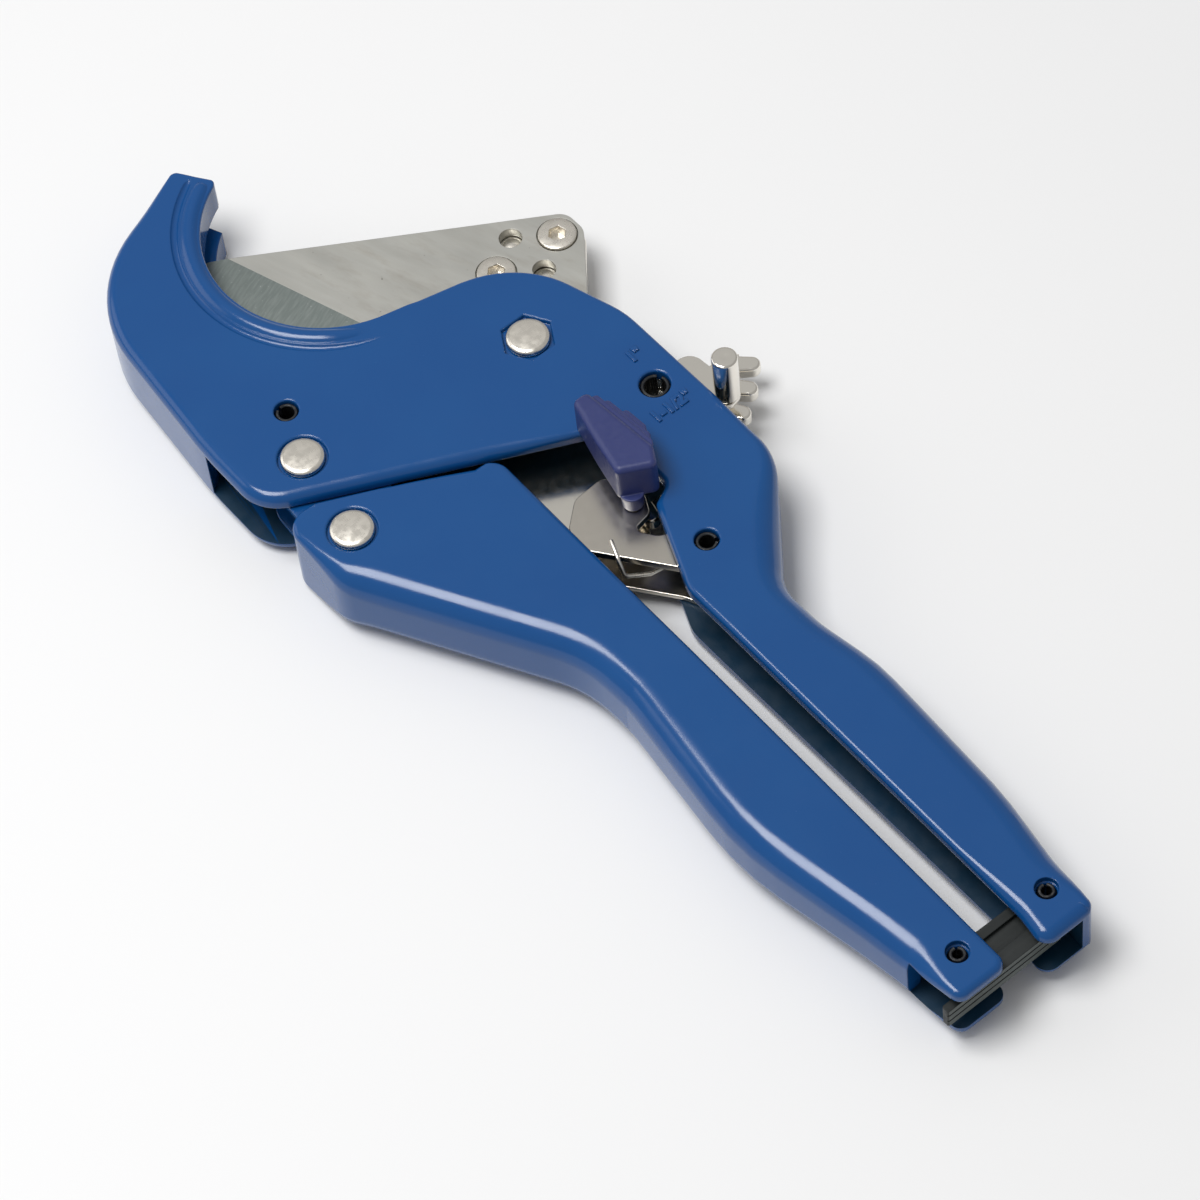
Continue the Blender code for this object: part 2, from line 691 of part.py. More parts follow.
def release_plate(name, low, high, holes=()):
    outline = rounded([
        (61.0, -8.0, 3.6), (61.0, -1.0, 4.0), (52.6, 1.6, 4.0), (46.2, 9.8, 3.4), (41.6, 5.0, 3.4),
        (46.2, -2.5, 3.0), (48.6, -8.3, 3.0), (43.4, -11.8, 1.0), (42.6, -7.2, 2.0),
        (38.0, -4.9, 3.0), (31.0, -8.6, 2.0), (31.4, -15.2, 3.0), (35.6, -20.0, 2.0), (41.2, -20.6, 2.5),
        (55.2, -10.6, 5.6),
    ])
    rings = [ring_of(RELEASE_PIN, ROLL_PIN_R + GAP, 20), ring_of(PAWL_RIVET, 1.8, 16), *holes]
    return flat(name, outline, low, high, rings, NICKEL)


def hold_pawl():
    nose = polar(BLADE_PIVOT, TOOTH_TIP_R + 0.45, 11.0)
    outline = rounded([
        (*nose, 0.4), (42.6, 3.4, 1.0), (46.4, 1.8, 2.4), (49.6, 5.8, 2.6), (45.8, 9.2, 3.2),
        (42.4, 10.6, 0.8),
    ])
    return flat("hold_pawl", outline, CARRIER_Z[0], NEAR_PLATE_Z[0] - GAP, [ring_of(PAWL_RIVET, 1.8, 16)],
                STEEL)


def thumb_lever():
    """The moulded lever on the near face: a block that gets higher to the right, and a round stem."""
    low = HALF + 0.4
    rim = 0.9
    block = rounded([
        (21.2, -6.3, 1.3), (30.5, -8.8, 6.0), (38.6, -10.6, 1.2), (42.2, -4.2, 1.3),
        (38.4, -2.0, 2.0), (21.2, -3.0, 1.2),
    ], 20.0)
    offsets = inward(block)
    sections = [[(x, y, low) for x, y in block]]
    for turn in reversed(rim_turns(3)):
        drop = rim * (1.0 - cos(radians(90.0 - turn)))
        shift = rim * (1.0 - cos(radians(turn)))
        ring = []
        for (x, y), offset in zip(block, offsets):
            top = HALF + blend(x, 20.0, 42.0, 8.0, 8.5)
            ring.append((x + offset.x * (rim - shift), y + offset.y * (rim - shift), top - rim + drop))
        sections.append(ring)
    lever = lofted("thumb_lever", sections)
    join(lever, disc("lever_stem", STEM, 2.3, NEAR_PLATE_Z[1] + GAP, low + 1.0, 20))
    cut(lever, disc("lever_bore", STEM, 1.2 + GAP, 0.0, low + 0.5, 14, CUTTERS))
    bpy.context.view_layer.update()
    made = baked(lever, "thumb_lever", VIOLET)
    smooth(made.data)
    return made


# ---- Opening selector ----

def selector_plate():
    outline = rounded([
        (19.2, 21.6, 3.0), (18.2, 6.0, 5.0), (28.6, 4.6, 5.0), (33.4, 19.4, 1.8), (32.5, 22.7, 1.8),
    ])
    holes = [ring_of(SELECTOR_PIN, SELECTOR_PIN_R + GAP), ring_of(POST, 1.3, 16)]
    return flat("selector_plate", outline, *SELECTOR_Z, holes, NICKEL)


def selector_post():
    """The thumb post: a chromed peg whose thin end is held in the selector plate."""
    top = HALF + 6.0
    base = SELECTOR_Z[1] + GAP
    profile = [(0.0, top), (2.1, top), (2.4, top - 0.3), (2.4, base), (1.0, base),
               (1.0, SELECTOR_Z[0]), (0.0, SELECTOR_Z[0])]
    return turned("selector_post", POST, profile, 24, NICKEL)


# ---- Grip latch ----

def latch():
    """The black latch in the grip ends: an end bar, a thumb pad and a cheek that cups the catch pin."""
    half = 2.3
    cup = arc(CATCH_PIN, 2.7, -6.0, -90.0, 6)
    cheek = rounded([
        (142.0, -30.1, 3.0), (148.9, -30.1, 0.4), (148.9, -34.0, 0.4), (150.5, -34.0, 0.4),
        (150.5, -9.2, 0.8), (149.6, -8.0, 0.3), (148.7, -8.0), *cup, (142.3, -10.6, 1.0),
    ])
    body = flat("latch", cheek, -half, half, [ring_of(LATCH_PIN, GRIP_PIN_R + GAP, 20)], BLACK)
    hollow = rounded([(136.0, -27.0), (136.0, -36.0), (147.6, -36.0, 0.5), (147.6, -8.0, 0.5),
                      (136.0, -2.0)])
    channel = flat("latch_hollow", hollow, -half + 1.2, half - 1.2, collection=CUTTERS)
    cut(body, channel)
    bpy.context.view_layer.update()
    made = baked(body, "latch", BLACK)
    smooth(made.data)
    return made


# ---- Assembly: every piece hangs on an empty that lies on its joint's axis ----

def pivot(name, place, parent=None):
    """An empty at a plan position in the mid-plane."""
    made = bpy.data.objects.new(name, None)
    made.empty_display_size = 10 * MM
    PARTS.objects.link(made)
    made.location = (place[0] * MM, place[1] * MM, (HALF + RIVET_PROUD) * MM)
    if parent:
        made.parent = parent
        made.location -= parent_place(parent)
    return made


def parent_place(obj):
    return obj.location + (parent_place(obj.parent) if obj.parent else Vector())


def hang(obj, support):
    """Moves a piece's origin onto its support's axis and parents it there."""
    if obj.modifiers:
        obj = baked(obj)
    place = parent_place(support)
    obj.data.transform(Matrix.Translation((-place.x, -place.y, 0.0)))
    obj.parent = support


def assemble():
    body = pivot("frame", BLADE_PIVOT)
    handle = pivot("handle_joint", HANDLE_PIVOT, body)
    supports = {
        handle: ("handle_casting", "handle_strap_near", "handle_strap_far", "handle_strap_rivet",
                 "pawl_pin", "drive_pawl_spring", "latch_roll_pin"),
        pivot("drive_pawl_joint", PAWL_PIN, handle): ("drive_pawl",),
        pivot("latch_joint", LATCH_PIN, handle): ("latch",),
        pivot("blade_joint", BLADE_PIVOT, body): (
            "blade", "blade_carrier", "blade_screw_1", "blade_screw_2", "blade_dowel_1",
            "blade_dowel_2"),
        pivot("release_joint", RELEASE_PIN, body): (
            "release_plate_near", "release_plate_far", "hold_pawl", "hold_pawl_rivet",
            "thumb_lever", "thumb_lever_pin", "release_spring"),
        pivot("selector_joint", SELECTOR_PIN, body): ("selector_plate", "selector_post"),
    }
    moving = {name: support for support, names in supports.items() for name in names}
    bpy.context.view_layer.update()
    for obj in [obj for obj in PARTS.objects if obj.type == "MESH"]:
        hang(obj, moving.get(obj.name, body))
    for tool in CUTTERS.objects:
        tool.parent = body


def build():
    frame_casting()
    handle_casting()
    rivet("blade_pivot_rivet", BLADE_PIVOT)
    rivet("handle_pivot_rivet", HANDLE_PIVOT)
    rivet("handle_strap_rivet", HANDLE_RIVET)
    inner = HALF - WALL - GAP
    bush("blade_bush", BLADE_PIVOT, BUSH_R, RIVET_SHANK_R + GAP, -inner, inner)
    bush("handle_bush", HANDLE_PIVOT, BUSH_R, RIVET_SHANK_R + GAP, -inner, inner)
    face = HALF - 0.6
    roll_pin("stop_roll_pin", STOP_PIN, ROLL_PIN_R, -face, face, 200.0)
    roll_pin("selector_roll_pin", SELECTOR_PIN, SELECTOR_PIN_R, SELECTOR_Z[0] - 0.4, face, 120.0)
    roll_pin("release_roll_pin", RELEASE_PIN, ROLL_PIN_R, -face, face, 60.0)
    for name, centre in (("catch_roll_pin", CATCH_PIN), ("latch_roll_pin", LATCH_PIN)):
        end = (HALF - 0.7) * taper(centre[0])
        roll_pin(name, centre, GRIP_PIN_R, -end, end, 150.0)
    disc("pawl_pin", PAWL_PIN, ROLL_PIN_R, -inner, inner, 20, spec=STEEL)
    coil("handle_spring", HANDLE_PIVOT, 5.3, 0.5, -0.4, 2, (-14.0, -37.2), (7.6, -40.6))
    coil("blade_spring", BLADE_PIVOT, 5.3, 0.5, 1.6, 1, (-3.2, -12.0), (13.0, 0.5))
    coil("drive_pawl_spring", PAWL_PIN, 3.1, 0.35, -0.8, 2, (15.0, -45.6), (28.4, -32.6))
    strap("handle_strap_near", *NEAR_PLATE_Z)
    strap("handle_strap_far", *FAR_PLATE_Z)
    drive_pawl()
    blade()
    blade_carrier()
    for number, centre in enumerate(SCREWS, 1):
        blade_screw(f"blade_screw_{number}", centre)
    for number, centre in enumerate(DOWELS, 1):
        dowel(f"blade_dowel_{number}", centre)
    release_plate("release_plate_near", *NEAR_PLATE_Z, [ring_of(STEM, 1.2 + GAP, 14)])
    release_plate("release_plate_far", *FAR_PLATE_Z)
    hold_pawl()
    disc("hold_pawl_rivet", PAWL_RIVET, 1.5, FAR_PLATE_Z[0], NEAR_PLATE_Z[1], 16, spec=NICKEL)
    disc("thumb_lever_pin", STEM, 1.2, 0.4, HALF + 0.6, 14, spec=NICKEL)
    thumb_lever()
    coil("release_spring", RELEASE_PIN, 3.2, 0.45, -1.2, 2, (66.0, -3.4), (43.4, -16.2))
    selector_plate()
    selector_post()
    latch()
    assemble()


build()
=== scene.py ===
"""Looks of the ratcheting pipe cutter: fine surfaces, materials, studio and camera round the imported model.

Plan positions are in millimetres, and heights are counted from the tool's mid-plane.
"""

from math import acos, atan2, cos, degrees, hypot, pi, radians, sin, tan

import bmesh
import bpy
from mathutils import Matrix, Vector


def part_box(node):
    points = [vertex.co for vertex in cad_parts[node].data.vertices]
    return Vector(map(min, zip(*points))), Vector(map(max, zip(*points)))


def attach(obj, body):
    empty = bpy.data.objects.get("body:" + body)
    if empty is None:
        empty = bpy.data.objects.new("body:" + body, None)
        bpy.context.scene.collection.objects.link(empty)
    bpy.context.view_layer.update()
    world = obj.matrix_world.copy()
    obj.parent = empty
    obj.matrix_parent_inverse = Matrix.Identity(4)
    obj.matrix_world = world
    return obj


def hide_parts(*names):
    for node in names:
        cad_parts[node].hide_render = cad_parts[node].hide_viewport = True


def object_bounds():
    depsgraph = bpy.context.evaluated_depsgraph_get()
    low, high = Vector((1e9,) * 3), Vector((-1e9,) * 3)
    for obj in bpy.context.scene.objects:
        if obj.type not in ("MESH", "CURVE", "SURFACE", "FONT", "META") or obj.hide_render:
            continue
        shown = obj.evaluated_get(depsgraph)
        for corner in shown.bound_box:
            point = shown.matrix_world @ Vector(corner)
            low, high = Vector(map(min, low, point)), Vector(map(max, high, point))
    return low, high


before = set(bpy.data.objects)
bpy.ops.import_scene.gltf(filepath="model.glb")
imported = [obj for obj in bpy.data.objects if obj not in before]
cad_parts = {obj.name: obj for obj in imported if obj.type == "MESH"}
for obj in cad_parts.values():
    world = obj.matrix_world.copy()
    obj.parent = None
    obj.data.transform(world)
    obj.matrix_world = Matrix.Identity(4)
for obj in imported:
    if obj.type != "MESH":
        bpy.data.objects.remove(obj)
CAD_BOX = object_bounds()
MM = 0.001


def plan(node):
    """The middle of a node's box in plan, in millimetres."""
    low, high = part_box(node)
    return ((low.x + high.x) / 2 / MM, (low.y + high.y) / 2 / MM)


def heights(node):
    """A node's lowest and highest point above the tool's mid-plane, in millimetres."""
    low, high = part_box(node)
    return ((low.z - MID) / MM, (high.z - MID) / MM)


# Where things are: the mid-plane's height in metres, the rest in plan in millimetres.
MID = sum(corner.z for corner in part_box("blade_pivot_rivet")) / 2
BLADE_PIVOT = plan("blade_pivot_rivet")
HANDLE_PIVOT = plan("handle_pivot_rivet")
HANDLE_RIVET = plan("handle_strap_rivet")
PAWL_PIN = plan("pawl_pin")
STOP_PIN = (-16.6, -42.0)
SELECTOR_PIN = (23.4, 10.1)
RELEASE_PIN = (55.2, -4.7)
CATCH_PIN = (145.6, -7.9)
LATCH_PIN = (144.8, -26.8)
SCREWS = (plan("blade_screw_1"), plan("blade_screw_2"))
DOWELS = (plan("blade_dowel_1"), plan("blade_dowel_2"))
STEM = plan("thumb_lever_pin")
PAWL_RIVET = plan("hold_pawl_rivet")
POST = plan("selector_post")

# Sizes of the castings, in millimetres.
HALF = 8.0                      # half their thickness
WALL = 2.5                      # thickness of their side walls
TAPER_FROM = 70.0               # the grips get thinner beyond this X
TAPER_TO = 153.0
TAPER_END = 0.80                # share of the thickness left at the grips' ends
JAW_CENTRE = (-45.0, -10.0)
JAW_R = 24.0
SLOT_R = 30.5                   # the blade's slot reaches this far from the jaw's centre
SLOT_HALF = 1.4

# Heights and sizes of the steel parts, in millimetres and degrees.
BLADE_Z = heights("blade")
CARRIER_Z = heights("blade_carrier")
SELECTOR_Z = heights("selector_plate")
TOOTH_TIP_R = 41.2
TOOTH_ROOT_R = 37.4
TOOTH_HALF = 1.6
TOOTH_COUNT = 11
TOOTH_TOP_ANGLE = 49.0
TOOTH_PITCH = 8.0
HEX_R = 5.1                     # corner radius of the hexagonal recess
RIVET_HEAD_R = 4.0
RIVET_SHANK_R = 3.0
RIVET_BORE_R = 3.25
RECESS_R = 4.55                 # round recesses for the rivets' ends
RECESS_DEPTH = 0.9
BUSH_BORE_R = 3.3
PIN_HOLE_R = 2.25
GRIP_HOLE_R = 1.75              # holes of the two pins at the grips' ends
ROLL_PIN_WALL = 0.62
ROLL_PIN_SPLIT = 26.0           # degrees of a roll pin's circle that stay open
BEVEL_WIDTH = 11.6
BEVEL_EDGE = 0.25               # thickness left at the blade's edge
BEVEL_START = (-54.4, -26.0)    # the bevel's upper line starts here
BEVEL_RUN = (26.7, 8.4)         # and runs this way
GRAIN_TURN = -0.30              # radians, the direction of the blade's grinding lines


# ---- Material nodes ----

class Shader:
    """A Principled material with helpers for the procedural parts of its look."""

    def __init__(self, name, colour, roughness, metallic=0.0, **inputs):
        self.material = bpy.data.materials.new(name)
        self.material.use_nodes = True
        self.tree = self.material.node_tree
        self.main = self.tree.nodes["Principled BSDF"]
        self.main.inputs["Base Color"].default_value = (*colour, 1.0)
        self.main.inputs["Roughness"].default_value = roughness
        self.main.inputs["Metallic"].default_value = metallic
        for key, value in inputs.items():
            self.main.inputs[key.replace("_", " ")].default_value = value
        self.place = self.node("ShaderNodeTexCoord").outputs["Object"]
        self.normal = None

    def node(self, kind, **values):
        made = self.tree.nodes.new(kind)
        for key, value in values.items():
            setattr(made, key, value)
        return made

    def join(self, output, target):
        self.tree.links.new(output, target)

    def noise(self, scale, detail=2.0, stretch=(1.0, 1.0, 1.0), turn=0.0, rough=0.5):
        mapping = self.node("ShaderNodeMapping")
        mapping.inputs["Rotation"].default_value = (0.0, 0.0, turn)
        turned_place = mapping.outputs["Vector"]
        self.join(self.place, mapping.inputs["Vector"])
        if stretch != (1.0, 1.0, 1.0):
            squeeze = self.node("ShaderNodeVectorMath", operation="MULTIPLY")
            squeeze.inputs[1].default_value = stretch
            self.join(turned_place, squeeze.inputs[0])
            turned_place = squeeze.outputs["Vector"]
        made = self.node("ShaderNodeTexNoise")
        made.inputs["Scale"].default_value = scale
        made.inputs["Detail"].default_value = detail
        made.inputs["Roughness"].default_value = rough
        self.join(turned_place, made.inputs["Vector"])
        return made.outputs["Fac"]

    def ramp(self, value, low, high, from_low=0.0, from_high=1.0):
        made = self.node("ShaderNodeMapRange", clamp=True)
        for key, number in zip(("From Min", "From Max", "To Min", "To Max"),
                               (from_low, from_high, low, high)):
            made.inputs[key].default_value = number
        self.join(value, made.inputs["Value"])
        return made.outputs["Result"]

    def tint(self, factor, colour):
        """Mixes colour over the base colour so far."""
        made = self.node("ShaderNodeMix", data_type="RGBA")
        base = self.main.inputs["Base Color"]
        if base.is_linked:
            self.join(base.links[0].from_socket, made.inputs["A"])
        else:
            made.inputs["A"].default_value = base.default_value
        made.inputs["B"].default_value = (*colour, 1.0)
        self.join(factor, made.inputs["Factor"])
        self.join(made.outputs["Result"], base)

    def roughness(self, value, low, high, from_low=0.3, from_high=0.7):
        self.join(self.ramp(value, low, high, from_low, from_high), self.main.inputs["Roughness"])

    def soften(self, radius, samples=6):
        """Rounds the shading of sharp edges."""
        made = self.node("ShaderNodeBevel", samples=samples)
        made.inputs["Radius"].default_value = radius
        self.normal = made.outputs["Normal"]
        self.join(self.normal, self.main.inputs["Normal"])
        return self

    def bump(self, height, strength, distance):
        made = self.node("ShaderNodeBump")
        made.inputs["Strength"].default_value = strength
        made.inputs["Distance"].default_value = distance
        self.join(height, made.inputs["Height"])
        if self.normal:
            self.join(self.normal, made.inputs["Normal"])
        self.normal = made.outputs["Normal"]
        self.join(self.normal, self.main.inputs["Normal"])
        self.join(self.normal, self.main.inputs["Coat Normal"])
        return self


def blue_paint():
    """Gloss enamel on a casting: orange peel, faint cloudiness and a few specks of dust."""
    look = Shader("blue_enamel", (0.0040, 0.066, 0.235), 0.16)
    look.soften(0.35 * MM)
    look.tint(look.ramp(look.noise(45.0, 3.0), 0.0, 0.35, 0.40, 0.72), (0.007, 0.082, 0.262))
    look.tint(look.ramp(look.noise(2600.0, 1.0), 0.0, 0.5, 0.80, 0.86), (0.10, 0.20, 0.42))
    look.roughness(look.noise(220.0, 3.0), 0.13, 0.20)
    look.bump(look.noise(520.0, 2.0), 0.10, 0.05 * MM)
    look.bump(look.noise(90.0, 1.0), 0.10, 0.20 * MM)
    return look.material


def channel_painted_shade():
    """Painted shade: a dark blue, slightly blotchy, that stands in for the shade inside the castings'
    channels.
    """
    look = Shader("channel_painted_shade", (0.003, 0.026, 0.055), 0.40)
    look.tint(look.ramp(look.noise(60.0, 3.0), 0.0, 0.5, 0.40, 0.72), (0.004, 0.036, 0.085))
    look.roughness(look.noise(300.0, 3.0), 0.34, 0.50)
    look.bump(look.noise(700.0, 3.0), 0.20, 0.08 * MM)
    return look.material


def blade_steel():
    """Stamped and belt-ground steel: fine lines along the blade and faint handling smudges."""
    look = Shader("blade_steel", (0.52, 0.515, 0.475), 0.42, 0.85)
    look.soften(0.12 * MM)
    smudges = look.noise(130.0, 5.0, (0.5, 1.6, 1.0), GRAIN_TURN, 0.65)
    look.tint(look.ramp(smudges, 0.0, 0.40, 0.52, 0.72), (0.33, 0.29, 0.235))
    lines = look.noise(800.0, 3.0, (0.06, 1.0, 1.0), GRAIN_TURN)
    look.tint(look.ramp(lines, 0.0, 0.28, 0.45, 0.75), (0.60, 0.60, 0.57))
    look.tint(look.ramp(look.noise(900.0, 1.0), 0.0, 0.6, 0.76, 0.82), (0.15, 0.14, 0.12))
    look.roughness(look.noise(160.0, 4.0, (0.3, 1.0, 1.0), GRAIN_TURN), 0.36, 0.52)
    look.bump(look.noise(1500.0, 3.0, (0.05, 1.0, 1.0), GRAIN_TURN), 0.12, 0.03 * MM)
    return look.material


def bevel_steel():
    """The ground bevel: darker, with grinding lines across it."""
    look = Shader("ground_bevel", (0.165, 0.19, 0.18), 0.32, 0.9)
    lines = look.noise(2200.0, 2.0, (1.0, 0.05, 1.0), GRAIN_TURN)
    look.tint(look.ramp(lines, 0.0, 0.35, 0.42, 0.75), (0.30, 0.325, 0.31))
    look.tint(look.ramp(look.noise(1800.0, 1.0), 0.0, 0.5, 0.72, 0.82), (0.48, 0.50, 0.48))
    look.bump(look.noise(2600.0, 2.0, (1.0, 0.05, 1.0), GRAIN_TURN), 0.25, 0.03 * MM)
    return look.material


def nickel(name="nickel_plate", colour=(0.92, 0.87, 0.78), roughness=0.26, cloud=0.20, pits=0.10):
    """Nickel plate on stamped steel: slightly wavy, with fine rubs."""
    look = Shader(name, colour, roughness, 1.0)
    look.soften(0.15 * MM)
    look.tint(look.ramp(look.noise(420.0, 4.0), 0.0, cloud, 0.50, 0.80), tuple(0.80 * c for c in colour))
    look.roughness(look.noise(700.0, 4.0), roughness - 0.3 * cloud, roughness + 0.5 * cloud)
    look.bump(look.noise(90.0, 1.0), 0.15, 0.30 * MM)
    look.bump(look.noise(380.0, 2.0), pits, 0.05 * MM)
    look.bump(look.noise(2400.0, 2.0, (1.0, 0.15, 1.0), 0.5), 0.5 * pits, 0.02 * MM)
    return look.material


def black_oxide():
    """Blackened spring steel, rubbed grey in places."""
    look = Shader("black_oxide", (0.045, 0.047, 0.05), 0.34, 0.9)
    look.soften(0.12 * MM)
    look.tint(look.ramp(look.noise(1600.0, 3.0), 0.0, 0.6, 0.50, 0.80), (0.16, 0.16, 0.16))
    look.roughness(look.noise(900.0, 3.0), 0.26, 0.50)
    return look.material


def violet_plastic():
    """Injection-moulded plastic with a fine satin texture."""
    look = Shader("violet_plastic", (0.027, 0.038, 0.145), 0.34)
    look.main.inputs["Subsurface Weight"].default_value = 0.08
    look.main.inputs["Subsurface Radius"].default_value = (0.4 * MM, 0.4 * MM, 1.2 * MM)
    look.soften(0.45 * MM, 8)
    look.tint(look.ramp(look.noise(300.0, 3.0), 0.0, 0.30, 0.45, 0.75), (0.036, 0.048, 0.165))
    look.roughness(look.noise(1200.0, 3.0), 0.30, 0.44)
    look.bump(look.noise(3600.0, 2.0), 0.12, 0.03 * MM)
    return look.material


def black_nylon(name="black_nylon", colour=(0.012, 0.015, 0.015), streak=(0.030, 0.034, 0.033)):
    """Glass-filled nylon: dark, matt, with flow lines along the bar."""
    look = Shader(name, colour, 0.46, Specular_IOR_Level=0.35)
    look.soften(0.25 * MM)
    look.tint(look.ramp(look.noise(500.0, 4.0, (1.0, 0.12, 1.0)), 0.0, 0.6, 0.42, 0.75), streak)
    look.roughness(look.noise(900.0, 3.0), 0.42, 0.62)
    look.bump(look.noise(2600.0, 3.0, (1.0, 0.2, 1.0)), 0.25, 0.05 * MM)
    return look.material


PAINT = blue_paint()
# Painted shade for the faces inside the castings' channels.
CHANNEL_PAINTED_SHADE = channel_painted_shade()
BLADE_STEEL = blade_steel()
BEVEL_STEEL = bevel_steel()
NICKEL = nickel()
DULL_NICKEL = nickel("stamped_nickel", (0.66, 0.62, 0.55), 0.22, 0.07, 0.02)
CHROME = nickel("polished_nickel", (0.90, 0.86, 0.78), 0.15, 0.06, 0.03)
OXIDE = black_oxide()
VIOLET = violet_plastic()
NYLON = black_nylon()
# A lighter copy of the nylon: painted reflection of the bright surroundings on the latch's outer face.
NYLON_PAINTED_REFLECTION = black_nylon("nylon_painted_reflection", (0.085, 0.100, 0.096), (0.125, 0.140, 0.134))


# ---- Plan outlines, in millimetres ----

def arc(centre, radius, start, end, steps):
    """Points on a circle, from one angle in degrees to another."""
    turn = [radians(start + (end - start) * i / steps) for i in range(steps + 1)]
    return [(centre[0] + radius * cos(a), centre[1] + radius * sin(a)) for a in turn]


def polar(centre, radius, angle):
    return (centre[0] + radius * cos(radians(angle)), centre[1] + radius * sin(radians(angle)))


def rounded(corners, step=5.0):
    """A polygon from corners (x, y) or (x, y, fillet radius), one arc point every step degrees."""
    points = []
    count = len(corners)
    for i, corner in enumerate(corners):
        here = Vector(corner[:2])
        radius = corner[2] if len(corner) > 2 else 0.0
        back = (Vector(corners[i - 1][:2]) - here).normalized()
        ahead = (Vector(corners[(i + 1) % count][:2]) - here).normalized()
        turn = pi - back.angle(ahead)
        if radius <= 0.0 or turn < 0.02:
            points.append(tuple(here))
            continue
        start = here + back * radius * tan(turn / 2)
        centre = here + (back + ahead).normalized() * radius / cos(turn / 2)
        side = 1.0 if back.cross(ahead) < 0.0 else -1.0
        first = atan2(start.y - centre.y, start.x - centre.x)
        steps = max(1, round(degrees(turn) / step))
        for k in range(steps + 1):
            angle = first + side * turn * k / steps
            points.append((centre.x + radius * cos(angle), centre.y + radius * sin(angle)))
    return points


def ring_of(centre, radius, steps=48):
    return arc(centre, radius, 0.0, 360.0 * (steps - 1) / steps, steps - 1)


def hex_ring(centre, radius, first):
    """A hexagon's corners, from the one at the angle first."""
    return [polar(centre, radius, first + 60.0 * k) for k in range(6)]


def spread(outline, longest):
    """The outline with its long edges divided."""
    points = []
    for (ax, ay), (bx, by) in zip(outline, outline[1:] + outline[:1]):
        steps = max(1, int(hypot(bx - ax, by - ay) / longest + 0.5))
        points += [(ax + (bx - ax) * k / steps, ay + (by - ay) * k / steps) for k in range(steps)]
    return points


def inward(outline):
    """For each point, the step into the outline that moves both its edges by one unit."""
    offsets = []
    count = len(outline)
    for i, point in enumerate(outline):
        before = (Vector(point) - Vector(outline[i - 1])).normalized()
        after = (Vector(outline[(i + 1) % count]) - Vector(point)).normalized()
        normal = Vector((-before.y - after.y, before.x + after.x)).normalized()
        offsets.append(normal / max(normal.dot(Vector((-after.y, after.x))), 0.5))
    return offsets


def blend(x, start, end, before, after):
    """A value that changes smoothly as x runs from start to end."""
    share = min(max((x - start) / (end - start), 0.0), 1.0)
    return before + (after - before) * share * share * (3 - 2 * share)


def taper(x):
    """The share of the full thickness that the grips keep at x."""
    return 1.0 - (1.0 - TAPER_END) * min(max((x - TAPER_FROM) / (TAPER_TO - TAPER_FROM), 0.0), 1.0)


# ---- Solids ----

def add(name, mesh):
    obj = bpy.data.objects.new(name, mesh)
    bpy.context.scene.collection.objects.link(obj)
    return obj


def new_mesh(name, work):
    """A mesh from bmesh data, its faces turned outwards."""
    bmesh.ops.recalc_face_normals(work, faces=work.faces)
    if work.calc_volume(signed=True) < 0.0:
        bmesh.ops.reverse_faces(work, faces=work.faces)
    mesh = bpy.data.meshes.new(name)
    work.to_mesh(mesh)
    work.free()
    return mesh


def baked(obj):
    """The object with its modifiers applied and its points welded, in its place."""
    bpy.context.view_layer.update()
    graph = bpy.context.evaluated_depsgraph_get()
    mesh = bpy.data.meshes.new_from_object(obj.evaluated_get(graph))
    mesh.transform(obj.matrix_world)
    name = obj.name
    bpy.data.objects.remove(obj, do_unlink=True)
    work = bmesh.new()
    work.from_mesh(mesh)
    bmesh.ops.remove_doubles(work, verts=work.verts, dist=1e-6)
    return add(name, new_mesh(name, work))


def flat(name, outline, low, high, holes=()):
    """An outline, less its holes, between two heights."""
    curve = bpy.data.curves.new(name, "CURVE")
    curve.dimensions = "2D"
    curve.fill_mode = "BOTH"
    curve.extrude = (high - low) / 2 * MM
    for ring in (outline, *holes):
        spline = curve.splines.new("POLY")
        spline.points.add(len(ring) - 1)
        for point, (x, y) in zip(spline.points, ring):
            point.co = (x * MM, y * MM, 0.0, 1.0)
        spline.use_cyclic_u = True
    obj = add(name, curve)
    obj.location.z = (high + low) / 2 * MM
    return baked(obj)


def turned(name, centre, profile, segments=64):
    """A piece turned about Z at centre, from (radius, z) pairs running top to bottom."""
    mesh = bpy.data.meshes.new(name)
    work = bmesh.new()
    points = [work.verts.new((r * MM, 0.0, z * MM)) for r, z in profile]
    for a, b in zip(points, points[1:]):
        work.edges.new((a, b))
    if profile[0][0] > 0.0:
        work.edges.new((points[-1], points[0]))
    work.to_mesh(mesh)
    work.free()
    obj = add(name, mesh)
    obj.location = (centre[0] * MM, centre[1] * MM, 0.0)
    screw = obj.modifiers.new("turn", "SCREW")
    screw.steps = screw.render_steps = segments
    screw.use_merge_vertices = True
    screw.merge_threshold = 1e-6
    return baked(obj)


def wire(name, path, radius, resolution=5):
    """A round wire along (x, y, z) points, or (x, y, z, share of the radius)."""
    curve = bpy.data.curves.new(name, "CURVE")
    curve.dimensions = "3D"
    curve.bevel_depth = radius * MM
    curve.bevel_resolution = resolution
    curve.use_fill_caps = True
    spline = curve.splines.new("POLY")
    spline.points.add(len(path) - 1)
    for point, place in zip(spline.points, path):
        point.co = (place[0] * MM, place[1] * MM, place[2] * MM, 1.0)
        point.radius = place[3] if len(place) > 3 else 1.0
    return baked(add(name, curve))


def lofted(name, sections):
    """A solid skinned over rings with equal numbers of points."""
    work = bmesh.new()
    rings = [[work.verts.new(Vector(place) * MM) for place in ring] for ring in sections]
    for low, high in zip(rings, rings[1:]):
        for i in range(len(low)):
            work.faces.new((low[i - 1], low[i], high[i], high[i - 1]))
    work.faces.new(rings[0])
    work.faces.new(rings[-1])
    return add(name, new_mesh(name, work))


